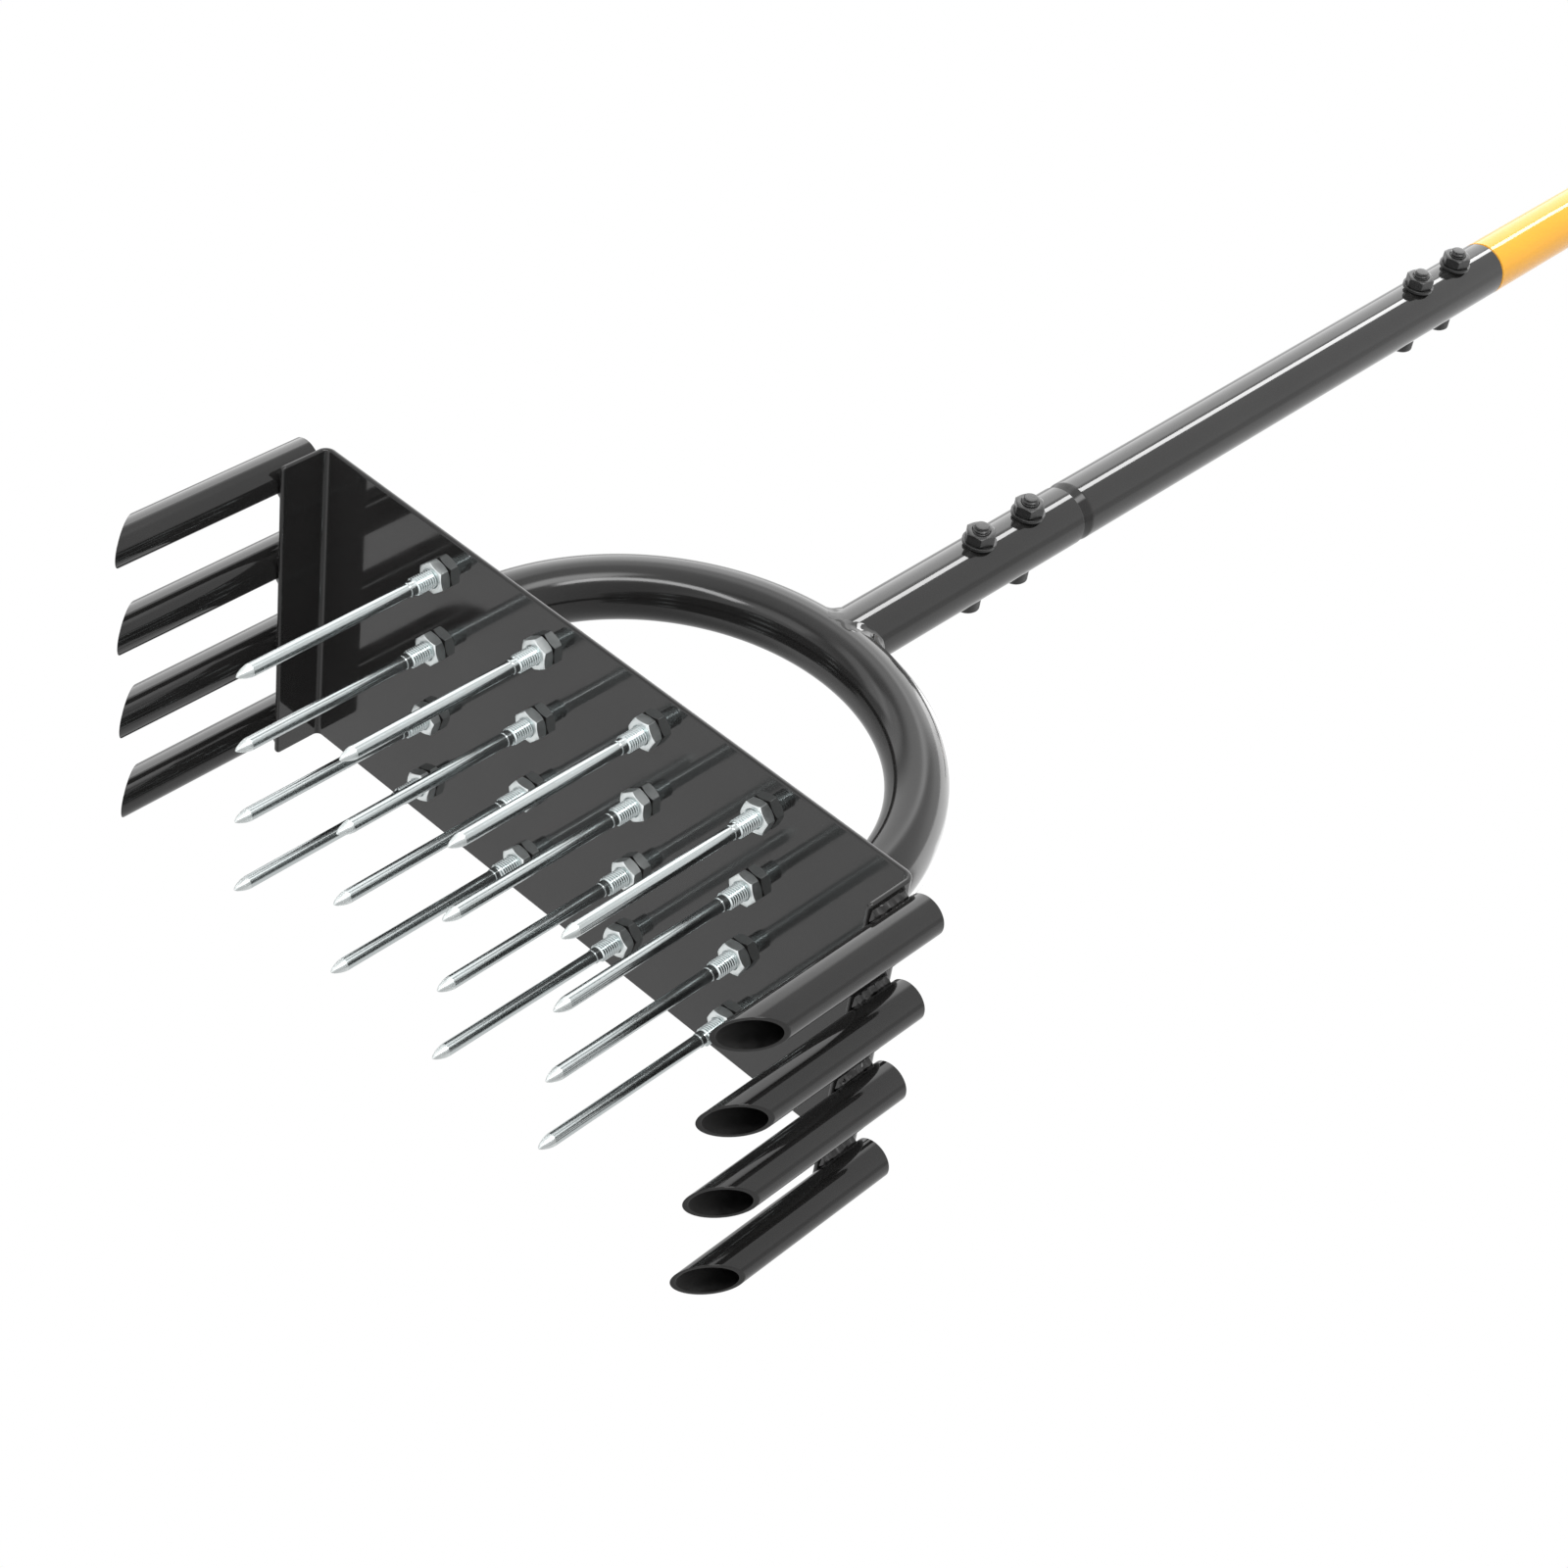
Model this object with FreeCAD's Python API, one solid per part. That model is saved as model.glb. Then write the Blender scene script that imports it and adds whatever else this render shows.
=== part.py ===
import FreeCAD, Part
import math
import os

# Manual lawn aerator. Millimetres. The tool stands upright on its tine tips:
# +Z runs up the handle, +X along the head plate, and the origin lies on the
# handle's axis at the level of the lowest tips.

# Head plate: one sheet folded down at both ends, like a shallow channel
sheet = 3.0
plate_length = 411.0
plate_width = 195.4
flange_reach = 29.1
bend_inner_radius = 3.0
flange_corner_radius = 2.5

# Spikes: solid rods with a threaded upper end, in a grid
spike_columns = 4
spike_rows = 4
column_pitch = 76.0
row_pitch = 47.8
thread_diameter = 10.0
thread_pitch = 1.5
thread_depth = 0.9
thread_crest = 0.2
thread_below_nut = 12.5
shoulder_length = 2.5
shoulder_diameter = 8.0
rod_diameter = 7.2
spike_below_nut = 124.3
point_length = 8.5
point_bulge = 0.5
point_flat = 1.4
spike_tail = 3.2
spike_tail_chamfer = 0.8
spike_hole_clearance = 0.3

# Hex nuts of the spikes, one on each face of the plate
nut_across_flats = 16.0
nut_height = 6.5
nut_bore_clearance = 0.06
nut_face_share = 0.95

# Coring tines: open tubes with a slanted mouth, welded to the flanges
tines_per_side = 4
tine_pitch = 56.2
tine_diameter = 22.0
tine_wall = 1.8
tine_reach = 132.0
tine_back_drop = 4.0
tine_mouth_length = 28.6
tine_gap = 0.6
tine_weld_climb = 3.5
tine_weld_leg = 2.6
tine_weld_margin = 1.0

# Yoke: a tube bent to an arch, its two legs welded to the plate just outside
# the outer spikes
yoke_diameter = 36.0
yoke_wall = 2.5
yoke_leg_offset = 26.0
yoke_leg_length = 44.7
yoke_weld_leg = 5.0

# Handle: a socket on the yoke's crown and two tubes, each with a necked foot
# that goes into the piece below
handle_diameter = 36.0
handle_wall = 2.0
socket_length = 196.3
socket_weld_leg = 4.0
lower_tube_length = 445.0
upper_tube_length = 404.0
foot_length = 100.0
foot_clearance = 0.2
lower_tube_shoulder = 8.0
upper_tube_shoulder = 1.5

# Through bolts of the two handle joints
bolts_per_joint = 2
socket_bolt_edge = 35.0
tube_bolt_edge = 39.0
bolt_pitch = 43.0
bolt_diameter = 10.0
bolt_hole_clearance = 0.25
bolt_head_diameter = 16.0
bolt_head_height = 10.0
bolt_head_chamfer = 1.0
key_across_flats = 8.0
key_depth = 5.0
bolt_tail = 3.4
bolt_tail_round = 0.8
bolt_thread_length = 22.0
bolt_nut_across_flats = 16.0
bolt_nut_height = 6.5
washer_diameter = 20.0
washer_thickness = 2.0
washer_bore_clearance = 0.3
seat_clearance = 0.1

# Cross bar with its grips, and the cap on the handle's top
bar_diameter = 25.4
bar_wall = 1.8
bar_length = 282.0
bar_drop = 24.0
bar_hole_clearance = 0.25
bar_weld_leg = 3.0
grip_standoff = 15.0
grip_wall = 3.6
grip_end = 4.0
grip_clearance = 0.1
grip_collar_length = 4.0
grip_collar_height = 3.2
grip_ribs = 7
grip_rib_height = 1.2
grip_rib_width = 4.0
grip_rib_start = 20.0
grip_rib_rest = 22.0
cap_rim = 2.0
cap_crown = 3.0
cap_plug_length = 7.0
cap_plug_clearance = 0.2
cap_plug_wall = 2.0

# Clearance of a weld bead to a round wall, and the overrun of the cuts
bead_clearance = 0.2
overrun = 5.0

# Levels and radii that follow from the sizes above
spike_reach = nut_height + spike_below_nut
plate_front = max(tine_reach, spike_reach)
plate_back = plate_front + sheet
flange_edge = plate_front - flange_reach
nut_front = plate_front - nut_height
nut_back = plate_back + nut_height
yoke_bend_radius = column_pitch * (spike_columns - 1) / 2 + yoke_leg_offset
yoke_centre = plate_back + yoke_leg_length
yoke_crown = yoke_centre + yoke_bend_radius
socket_end = yoke_crown + socket_length
lower_tube_end = socket_end + lower_tube_length
upper_tube_end = lower_tube_end + upper_tube_length
bar_height = upper_tube_end - bar_drop
thread_radius = thread_diameter / 2
tine_radius = tine_diameter / 2
tine_axis = plate_length / 2 + tine_gap + tine_radius
yoke_radius = yoke_diameter / 2
handle_radius = handle_diameter / 2
handle_bore = handle_radius - handle_wall
bolt_radius = bolt_diameter / 2
bar_radius = bar_diameter / 2
grip_length = bar_length / 2 - handle_radius - grip_standoff
grip_rib_pitch = (grip_length - grip_rib_start - grip_rib_rest) / (grip_ribs - 1)

UP = FreeCAD.Vector(0, 0, 1)
ALONG = FreeCAD.Vector(1, 0, 0)
ACROSS = FreeCAD.Vector(0, 1, 0)


def point(x, y, z):
    return FreeCAD.Vector(x, y, z)


def centred(count, pitch):
    first = -pitch * (count - 1) / 2
    return [first + pitch * i for i in range(count)]


def box(x_range, y_range, z_range):
    size = [high - low for low, high in (x_range, y_range, z_range)]
    corner = point(x_range[0], y_range[0], z_range[0])
    return Part.makeBox(size[0], size[1], size[2], corner)


def rod_z(radius, low, high, x=0, y=0):
    return Part.makeCylinder(radius, high - low, point(x, y, low), UP)


def rod_x(radius, low, high, z):
    return Part.makeCylinder(radius, high - low, point(low, 0, z), ALONG)


def rod_y(radius, low, high, z):
    return Part.makeCylinder(radius, high - low, point(0, low, z), ACROSS)


def turned(outline):
    """A solid of revolution about Z from (radius, height) points."""
    corners = [point(r, 0, z) for r, z in outline]
    face = Part.Face(Part.makePolygon(corners + corners[:1]))
    return face.revolve(point(0, 0, 0), UP, 360)


def moved(shape, x, y, z):
    copy = shape.copy()
    copy.translate(point(x, y, z))
    return copy


def head_plate():
    half = plate_length / 2
    side = plate_width / 2
    outer = box((-half, half), (-side, side), (flange_edge, plate_back))
    folds = [e for e in outer.Edges
             if e.BoundBox.YLength > side and e.CenterOfMass.z > plate_front]
    outer = outer.makeFillet(bend_inner_radius + sheet, folds)
    inside = half - sheet
    inner = box((-inside, inside), (-side - overrun, side + overrun),
                (flange_edge - overrun, plate_front))
    folds = [e for e in inner.Edges
             if e.BoundBox.YLength > side and e.CenterOfMass.z > flange_edge]
    inner = inner.makeFillet(bend_inner_radius, folds)
    plate = outer.cut(inner)
    corners = [e for e in plate.Edges
               if e.BoundBox.YLength < sheet and e.BoundBox.ZLength < sheet
               and e.BoundBox.XLength < sheet + flange_corner_radius
               and e.CenterOfMass.z < plate_front - flange_reach / 2]
    plate = plate.makeFillet(flange_corner_radius, corners)
    holes = [rod_z(thread_radius + spike_hole_clearance, plate_front - overrun,
                   plate_back + overrun, x, y) for x, y in spike_places()]
    return plate.cut(Part.makeCompound(holes))


def spike_places():
    return [(x, y) for x in centred(spike_columns, column_pitch)
            for y in centred(spike_rows, row_pitch)]


def thread_outline(low, high, major, depth):
    """(radius, height) points of V ridges from low up to high."""
    flank = (thread_pitch - thread_crest) / 2
    count = int((high - low) / thread_pitch)
    outline = []
    for i in range(count):
        foot = low + i * thread_pitch
        outline.append((major - depth, foot))
        outline.append((major, foot + flank))
        outline.append((major, foot + flank + thread_crest))
    outline.append((major - depth, low + count * thread_pitch))
    return outline


def spike_point(tip, rod):
    """The bulging point, from the small flat at its end out to the rod."""
    flat = point(point_flat / 2, 0, tip)
    rim = point(rod, 0, tip + point_length)
    bulge = (flat + rim) * 0.5 + point_bulge * ALONG
    curve = Part.Arc(flat, bulge, rim).toShape()
    sides = Part.makePolygon([rim, point(0, 0, tip + point_length),
                              point(0, 0, tip), flat])
    face = Part.Face(Part.Wire([curve] + sides.Edges))
    return face.revolve(point(0, 0, 0), UP, 360)


def spike():
    tip = nut_front - spike_below_nut
    rod = rod_diameter / 2
    shoulder = shoulder_diameter / 2
    thread_low = nut_front - thread_below_nut
    shoulder_low = thread_low - shoulder_length
    top = nut_back + spike_tail
    outline = [(0, tip + point_length), (rod, tip + point_length),
               (rod, shoulder_low - (shoulder - rod)),
               (shoulder, shoulder_low), (shoulder, thread_low)]
    outline += thread_outline(thread_low, top - spike_tail_chamfer,
                              thread_radius, thread_depth)
    outline.append((thread_radius - thread_depth, top - spike_tail_chamfer))
    outline.append((thread_radius - thread_depth, top))
    outline.append((0, top))
    shank = turned([p for p, q in zip(outline, outline[1:] + [None]) if p != q])
    return shank.fuse(spike_point(tip, rod)).removeSplitter()


def hexagon(corner, height):
    """A six-sided prism that stands on the XY plane."""
    corners = [point(corner * math.cos(math.radians(60 * i)),
                     corner * math.sin(math.radians(60 * i)), 0) for i in range(6)]
    face = Part.Face(Part.makePolygon(corners + corners[:1]))
    return face.extrude(point(0, 0, height))


def hex_nut(across_flats, height, bore):
    corner = across_flats / math.sqrt(3)
    face = across_flats / 2 * nut_face_share
    bevel = (corner - face) * math.tan(math.radians(30))
    prism = hexagon(corner, height)
    blank = turned([(0, 0), (face, 0), (corner, bevel), (corner, height - bevel),
                    (face, height), (0, height)])
    nut = prism.common(blank)
    return nut.cut(rod_z(bore, -overrun, height + overrun))


def spike_nuts(level):
    nut = hex_nut(nut_across_flats, nut_height, thread_radius + nut_bore_clearance)
    return Part.makeCompound([moved(nut, x, y, level) for x, y in spike_places()])


def tine(side, y):
    """One coring tube; its mouth is cut on a slant and faces away from the plate."""
    back = plate_back - tine_back_drop
    tip = plate_front - tine_reach
    x = side * tine_axis
    tube = rod_z(tine_radius, tip, back, x, y)
    bore = rod_z(tine_radius - tine_wall, tip - overrun, back + overrun, x, y)
    inner = x - side * tine_radius
    outer = x + side * tine_radius
    slope = tine_mouth_length / tine_diameter
    past = overrun * slope
    corners = [(inner - side * overrun, tip - past),
               (outer + side * overrun, tip + tine_mouth_length + past),
               (outer + side * overrun, tip - past - overrun),
               (inner - side * overrun, tip - past - overrun)]
    corners = [point(a, y - tine_diameter, b) for a, b in corners]
    wedge = Part.Face(Part.makePolygon(corners + corners[:1]))
    wedge = wedge.extrude(point(0, 2 * tine_diameter, 0))
    return tube.cut(bore).cut(wedge)


def tine_welds(side):
    """A bead along both sides of each tine, from the flange's edge to its fold."""
    face = plate_length / 2
    reach = tine_gap + tine_radius - tine_weld_climb
    chord = math.sqrt(tine_radius ** 2 - reach ** 2)
    toe = chord + tine_weld_leg
    low = flange_edge + tine_weld_margin
    high = plate_back - sheet - bend_inner_radius - tine_weld_margin
    crest = face + tine_weld_climb
    beads = []
    for y in centred(tines_per_side, tine_pitch):
        corners = [point(side * face, y - toe, low), point(side * face, y + toe, low),
                   point(side * crest, y + chord, low), point(side * crest, y - chord, low)]
        block = Part.Face(Part.makePolygon(corners + corners[:1]))
        block = block.extrude(point(0, 0, high - low))
        tube = rod_z(tine_radius + bead_clearance, low - overrun, high + overrun,
                     side * tine_axis, y)
        beads.append(block.cut(tube))
    return Part.makeCompound(beads)


def ring_z(centre, radius, section):
    return Part.makeTorus(radius, section, point(0, 0, centre), ACROSS)


def arch(section, low):
    """A solid arch of round section: half a ring on two straight legs."""
    width = yoke_bend_radius + yoke_diameter
    upper = box((-width, width), (-width, width), (yoke_centre, yoke_centre + width))
    half = ring_z(yoke_centre, yoke_bend_radius, section).common(upper)
    legs = [rod_z(section, low, yoke_centre, side * yoke_bend_radius, 0)
            for side in (-1, 1)]
    return half.fuse(legs).removeSplitter()


def yoke():
    return arch(yoke_radius, plate_back).cut(arch(yoke_radius - yoke_wall,
                                                  plate_back - overrun))


def yoke_welds():
    inner = yoke_radius + bead_clearance
    bead = turned([(inner, 0), (inner + yoke_weld_leg, 0), (inner, yoke_weld_leg)])
    return Part.makeCompound([moved(bead, side * yoke_bend_radius, 0, plate_back)
                              for side in (-1, 1)])


def bolt_levels(joint_end):
    """Heights of a joint's bolts below the end of its outer tube."""
    first = {socket_end: socket_bolt_edge, lower_tube_end: tube_bolt_edge}[joint_end]
    return [joint_end - first - bolt_pitch * i for i in range(bolts_per_joint)]


def drilled(tube, joint_end):
    reach = handle_diameter
    holes = [rod_y(bolt_radius + bolt_hole_clearance, -reach, reach, z)
             for z in bolt_levels(joint_end)]
    return tube.cut(Part.makeCompound(holes))


def handle_socket():
    tube = rod_z(handle_radius, yoke_crown, socket_end)
    tube = tube.cut(rod_z(handle_bore, yoke_crown - overrun, socket_end + overrun))
    tube = tube.cut(ring_z(yoke_centre, yoke_bend_radius, yoke_radius + bead_clearance))
    return drilled(tube, socket_end)


def socket_weld():
    """The bead along the saddle line where the socket meets the yoke."""
    leg = socket_weld_leg
    reach = yoke_radius + leg
    bead = ring_z(yoke_centre, yoke_bend_radius, reach)
    bead = bead.common(rod_z(handle_radius + leg, yoke_crown, yoke_crown + reach))
    bead = bead.cut(ring_z(yoke_centre, yoke_bend_radius, yoke_radius + bead_clearance))
    return bead.cut(rod_z(handle_radius + bead_clearance, yoke_crown - overrun,
                          yoke_crown + reach + overrun))


def footed_tube(joint, top, shoulder):
    """A handle tube whose necked foot reaches down below the joint's level."""
    foot = handle_bore - foot_clearance
    bore = foot - handle_wall
    low = joint - foot_length
    return turned([(bore, low), (foot, low), (foot, joint),
                   (handle_radius, joint + shoulder), (handle_radius, top),
                   (handle_bore, top), (handle_bore, joint + shoulder + handle_wall),
                   (bore, joint + handle_wall)])


def lower_tube():
    tube = footed_tube(socket_end, lower_tube_end, lower_tube_shoulder)
    return drilled(drilled(tube, socket_end), lower_tube_end)


def upper_tube():
    tube = footed_tube(lower_tube_end, upper_tube_end, upper_tube_shoulder)
    tube = drilled(tube, lower_tube_end)
    return tube.cut(rod_x(bar_radius + bar_hole_clearance, -handle_diameter,
                          handle_diameter, bar_height))


def bolt():
    """One socket head bolt along Z: the head's seat at zero, its thread below."""
    grip = handle_diameter + 2 * seat_clearance
    end = -(grip + washer_thickness + bolt_nut_height + bolt_tail)
    head = bolt_head_diameter / 2
    root = bolt_radius - thread_depth
    thread_low = end + bolt_tail_round
    outline = [(0, end), (root - bolt_tail_round, end), (root, thread_low)]
    outline += thread_outline(thread_low, end + bolt_thread_length,
                              bolt_radius, thread_depth)[1:]
    outline.append((bolt_radius, outline[-1][1] + thread_depth))
    outline += [(bolt_radius, 0), (head, 0),
                (head, bolt_head_height - bolt_head_chamfer),
                (head - bolt_head_chamfer, bolt_head_height),
                (0, bolt_head_height)]
    key = hexagon(key_across_flats / math.sqrt(3), key_depth + overrun)
    return turned(outline).cut(moved(key, 0, 0, bolt_head_height - key_depth))


def across(shape, level, seat):
    """Turns a piece made along Z so that it points along Y, at its place."""
    copy = shape.copy()
    copy.rotate(point(0, 0, 0), ALONG, -90)
    copy.translate(point(0, seat, level))
    return copy


def joint_bolts(joint_end):
    seat = handle_radius + seat_clearance
    return Part.makeCompound([across(bolt(), z, seat) for z in bolt_levels(joint_end)])


def joint_washers(joint_end):
    washer = rod_z(washer_diameter / 2, 0, washer_thickness)
    washer = washer.cut(rod_z(bolt_radius + washer_bore_clearance, -overrun,
                              washer_thickness + overrun))
    seat = -(handle_radius + seat_clearance + washer_thickness)
    return Part.makeCompound([across(washer, z, seat) for z in bolt_levels(joint_end)])


def joint_nuts(joint_end):
    nut = hex_nut(bolt_nut_across_flats, bolt_nut_height,
                  bolt_radius + nut_bore_clearance)
    seat = -(handle_radius + seat_clearance + washer_thickness + bolt_nut_height)
    return Part.makeCompound([across(nut, z, seat) for z in bolt_levels(joint_end)])


def cross_bar():
    half = bar_length / 2
    bar = rod_x(bar_radius, -half, half, bar_height)
    return bar.cut(rod_x(bar_radius - bar_wall, -half - overrun, half + overrun,
                         bar_height))


def cross_bar_welds():
    """A bead round the bar on each side of the handle tube."""
    leg = bar_weld_leg
    reach = handle_radius + leg
    bead = rod_x(bar_radius + leg, -reach, reach, bar_height)
    bead = bead.common(rod_z(reach, bar_height - reach, bar_height + reach))
    bead = bead.cut(rod_x(bar_radius + bead_clearance, -reach - overrun,
                          reach + overrun, bar_height))
    return bead.cut(rod_z(handle_radius + bead_clearance, bar_height - reach,
                          bar_height + reach))


def grip():
    """A ribbed sleeve along Z, open at zero and closed at its far end."""
    bore = bar_radius + grip_clearance
    skin = bore + grip_wall
    collar = skin + grip_collar_height
    far = grip_length + grip_end
    outline = [(bore, 0), (collar, 0), (collar, grip_collar_length),
               (skin, grip_collar_length)]
    for i in range(grip_ribs):
        low = grip_rib_start + i * grip_rib_pitch
        rib = skin + grip_rib_height
        outline += [(skin, low), (rib, low + grip_rib_height),
                    (rib, low + grip_rib_width - grip_rib_height),
                    (skin, low + grip_rib_width)]
    outline += [(skin, far - grip_wall), (skin - grip_wall, far), (0, far),
                (0, grip_length), (bore, grip_length)]
    return turned(outline)


def hand_grip(side):
    sleeve = grip()
    sleeve.rotate(point(0, 0, 0), ACROSS, side * 90)
    open_end = bar_length / 2 - grip_length
    sleeve.translate(point(side * open_end, 0, bar_height))
    return sleeve


def handle_cap():
    plug = handle_bore - cap_plug_clearance
    inner = plug - cap_plug_wall
    low = upper_tube_end - cap_plug_length
    rim = upper_tube_end + cap_rim
    return turned([(inner, low), (plug, low), (plug, upper_tube_end),
                   (handle_radius, upper_tube_end), (handle_radius, rim),
                   (handle_bore, rim + cap_crown), (0, rim + cap_crown),
                   (0, upper_tube_end), (inner, upper_tube_end)])


def pieces():
    made = {"head_plate": head_plate()}
    for word, side in (("left", -1), ("right", 1)):
        for number, y in enumerate(centred(tines_per_side, tine_pitch), 1):
            made["tine_%s_%d" % (word, number)] = tine(side, y)
        made["tine_welds_" + word] = tine_welds(side)
        made["hand_grip_" + word] = hand_grip(side)
    for index, x in enumerate(centred(spike_columns, column_pitch)):
        for number, y in enumerate(centred(spike_rows, row_pitch), 1):
            name = "spike_%s%d" % (chr(ord("a") + index), number)
            made[name] = moved(spike(), x, y, 0)
    made["spike_nuts_front"] = spike_nuts(nut_front)
    made["spike_nuts_back"] = spike_nuts(plate_back)
    made["yoke"] = yoke()
    made["yoke_welds"] = yoke_welds()
    made["handle_socket"] = handle_socket()
    made["socket_weld"] = socket_weld()
    made["lower_tube"] = lower_tube()
    made["upper_tube"] = upper_tube()
    for word, level in (("socket", socket_end), ("tube", lower_tube_end)):
        made[word + "_joint_bolts"] = joint_bolts(level)
        made[word + "_joint_washers"] = joint_washers(level)
        made[word + "_joint_nuts"] = joint_nuts(level)
    made["cross_bar"] = cross_bar()
    made["cross_bar_welds"] = cross_bar_welds()
    made["handle_cap"] = handle_cap()
    return made


os.makedirs("parts", exist_ok=True)
for node, shape in pieces().items():
    shape.exportStep("parts/" + node + ".step")
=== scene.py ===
import math

import bpy
from mathutils import Matrix, Vector, noise


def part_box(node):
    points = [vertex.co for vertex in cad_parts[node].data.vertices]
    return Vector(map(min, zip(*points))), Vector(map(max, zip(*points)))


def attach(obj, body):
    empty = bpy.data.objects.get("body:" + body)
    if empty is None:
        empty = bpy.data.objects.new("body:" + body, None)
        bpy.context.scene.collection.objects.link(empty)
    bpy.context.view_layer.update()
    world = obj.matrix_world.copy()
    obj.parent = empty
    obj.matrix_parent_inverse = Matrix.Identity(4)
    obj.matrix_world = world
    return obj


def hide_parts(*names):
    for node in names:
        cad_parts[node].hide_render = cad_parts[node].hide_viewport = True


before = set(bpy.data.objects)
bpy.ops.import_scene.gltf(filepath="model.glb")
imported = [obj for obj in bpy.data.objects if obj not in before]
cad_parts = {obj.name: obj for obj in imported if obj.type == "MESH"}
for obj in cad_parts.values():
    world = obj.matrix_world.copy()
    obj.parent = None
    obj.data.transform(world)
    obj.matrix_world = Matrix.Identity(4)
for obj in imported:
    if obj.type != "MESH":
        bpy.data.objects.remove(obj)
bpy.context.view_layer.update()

bl_info = {
    "name": "Lawn Aerator Dresser",
    "version": (1, 0, 0),
    "blender": (4, 5, 0),
    "location": "View3D > Sidebar > Aerator",
    "description": "Builds the painted, plated and rubber pieces of a manual lawn aerator round its CAD frame",
    "category": "Object",
}

MM = 0.001
BODY = "root"
SPIKE_NODES = ["spike_%s%d" % (column, row) for column in "abcd" for row in range(1, 5)]
# Sign of X and name of the head's two ends
SIDES = ((-1, "left"), (1, "right"))


def middle(node):
    low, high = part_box(node)
    return (low + high) / 2


def span(node):
    low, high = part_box(node)
    return high - low


# Sizes, colours and studio settings


def length(name, description, default):
    """A size in the panel, with its default in millimetres."""
    return bpy.props.FloatProperty(name=name, description=description, default=default * MM,
                                   unit="LENGTH", subtype="DISTANCE", precision=5)


def colour(name, description, *default):
    return bpy.props.FloatVectorProperty(name=name, description=description, default=default + (1,),
                                         size=4, min=0.0, max=1.0, subtype="COLOR")


def triple(name, description, default, subtype, unit="NONE"):
    return bpy.props.FloatVectorProperty(name=name, description=description, default=default,
                                         size=3, subtype=subtype, unit=unit)


class AeratorSizes(bpy.types.PropertyGroup):
    sheet: length("Sheet", "Thickness of the head plate's sheet", 3.0)
    bend_radius: length("Bend radius", "Inner radius of the plate's two folds", 3.0)
    sheet_edge: length("Sheet edge", "Rounding of the sheet's cut edges under the paint", 1.3)
    flange_corner: length("Flange corner", "Rounding of the flanges' free corners", 2.5)
    tine_wall: length("Tine wall", "Wall of the coring tines", 1.8)
    tine_lip: length("Tine lip", "Rounding of the tines' cut rims", 0.3)
    tine_mouth: length("Tine mouth", "Height of the slanted mouth", 28.6)
    tine_weld_leg: length("Tine weld leg", "Reach of the tines' welds along the flange", 2.6)
    thread: length("Thread", "Outer diameter of all threads", 10.0)
    thread_pitch: length("Thread pitch", "Pitch of the coarse threads", 1.5)
    thread_depth: length("Thread depth", "Depth of the thread's groove", 0.9)
    thread_below_nut: length("Thread below nut", "Length of bare thread under the front nuts", 12.5)
    spike_shoulder: length("Spike shoulder", "Length of the plain shoulder between thread and rod", 2.5)
    shoulder_across: length("Shoulder across", "Diameter of the spikes' plain shoulder", 8.0)
    rod: length("Rod", "Diameter of the spikes' plain rod", 7.2)
    point: length("Point", "Length of the spikes' bulging point", 8.5)
    point_bulge: length("Point bulge", "How far the point's side stands out from a straight cone", 0.5)
    point_flat: length("Point flat", "Radius of the blunt end of the point", 0.7)
    nut_flats: length("Nut flats", "Width across the flats of all nuts", 16.0)
    nut_sink: length("Nut sink", "Countersink of the nuts' bores", 0.55)
    bore_play: length("Bore play", "Play between thread and nut", 0.04)
    key_flats: length("Key flats", "Width across the flats of the bolt heads' sockets", 8.0)
    key_depth: length("Key depth", "Depth of the bolt heads' sockets", 5.0)
    knurl: length("Knurl", "Depth of the knurling round the bolt heads", 0.22)
    tube_wall: length("Tube wall", "Wall of the handle tubes", 2.0)
    tube_rim: length("Tube rim", "Rounding of the handle tubes' ends", 0.35)
    tube_play: length("Tube play", "Play between a tube's foot and the tube that holds it", 0.2)
    yoke_wall: length("Yoke wall", "Wall of the yoke's tube", 2.5)
    bar_wall: length("Bar wall", "Wall of the cross bar", 1.8)
    lower_shoulder: length("Lower shoulder", "Length of the lower tube's drawn-in shoulder", 8.0)
    upper_shoulder: length("Upper shoulder", "Length of the upper tube's drawn-in shoulder", 1.5)
    socket_weld_leg: length("Socket weld leg", "Reach of the weld up the socket", 5.5)
    bar_weld_leg: length("Bar weld leg", "Reach of the cross bar's welds", 2.8)
    weld_ripple: length("Weld ripple", "Distance between the ripples of a weld bead", 2.4)
    grip_skin: length("Grip skin", "How far the grip's skin lies below its collar", 3.2)
    grip_wall: length("Grip wall", "Thickness of the grip's rubber", 3.6)
    grip_round: length("Grip round", "Rounding of the grip's closed end", 4.0)
    grip_rib_start: length("Grip rib start", "Distance from the grip's collar end to its first rib", 20.0)
    grip_rib_pitch: length("Grip rib pitch", "Distance between the grips' ribs", 11.0)
    grip_rib_width: length("Grip rib width", "Width of a rib", 4.0)
    grip_rib_height: length("Grip rib height", "Height of a rib over the skin", 1.2)
    grip_ribs: bpy.props.IntProperty(name="Grip ribs", description="Number of ribs on each grip", default=7, min=1)


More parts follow.
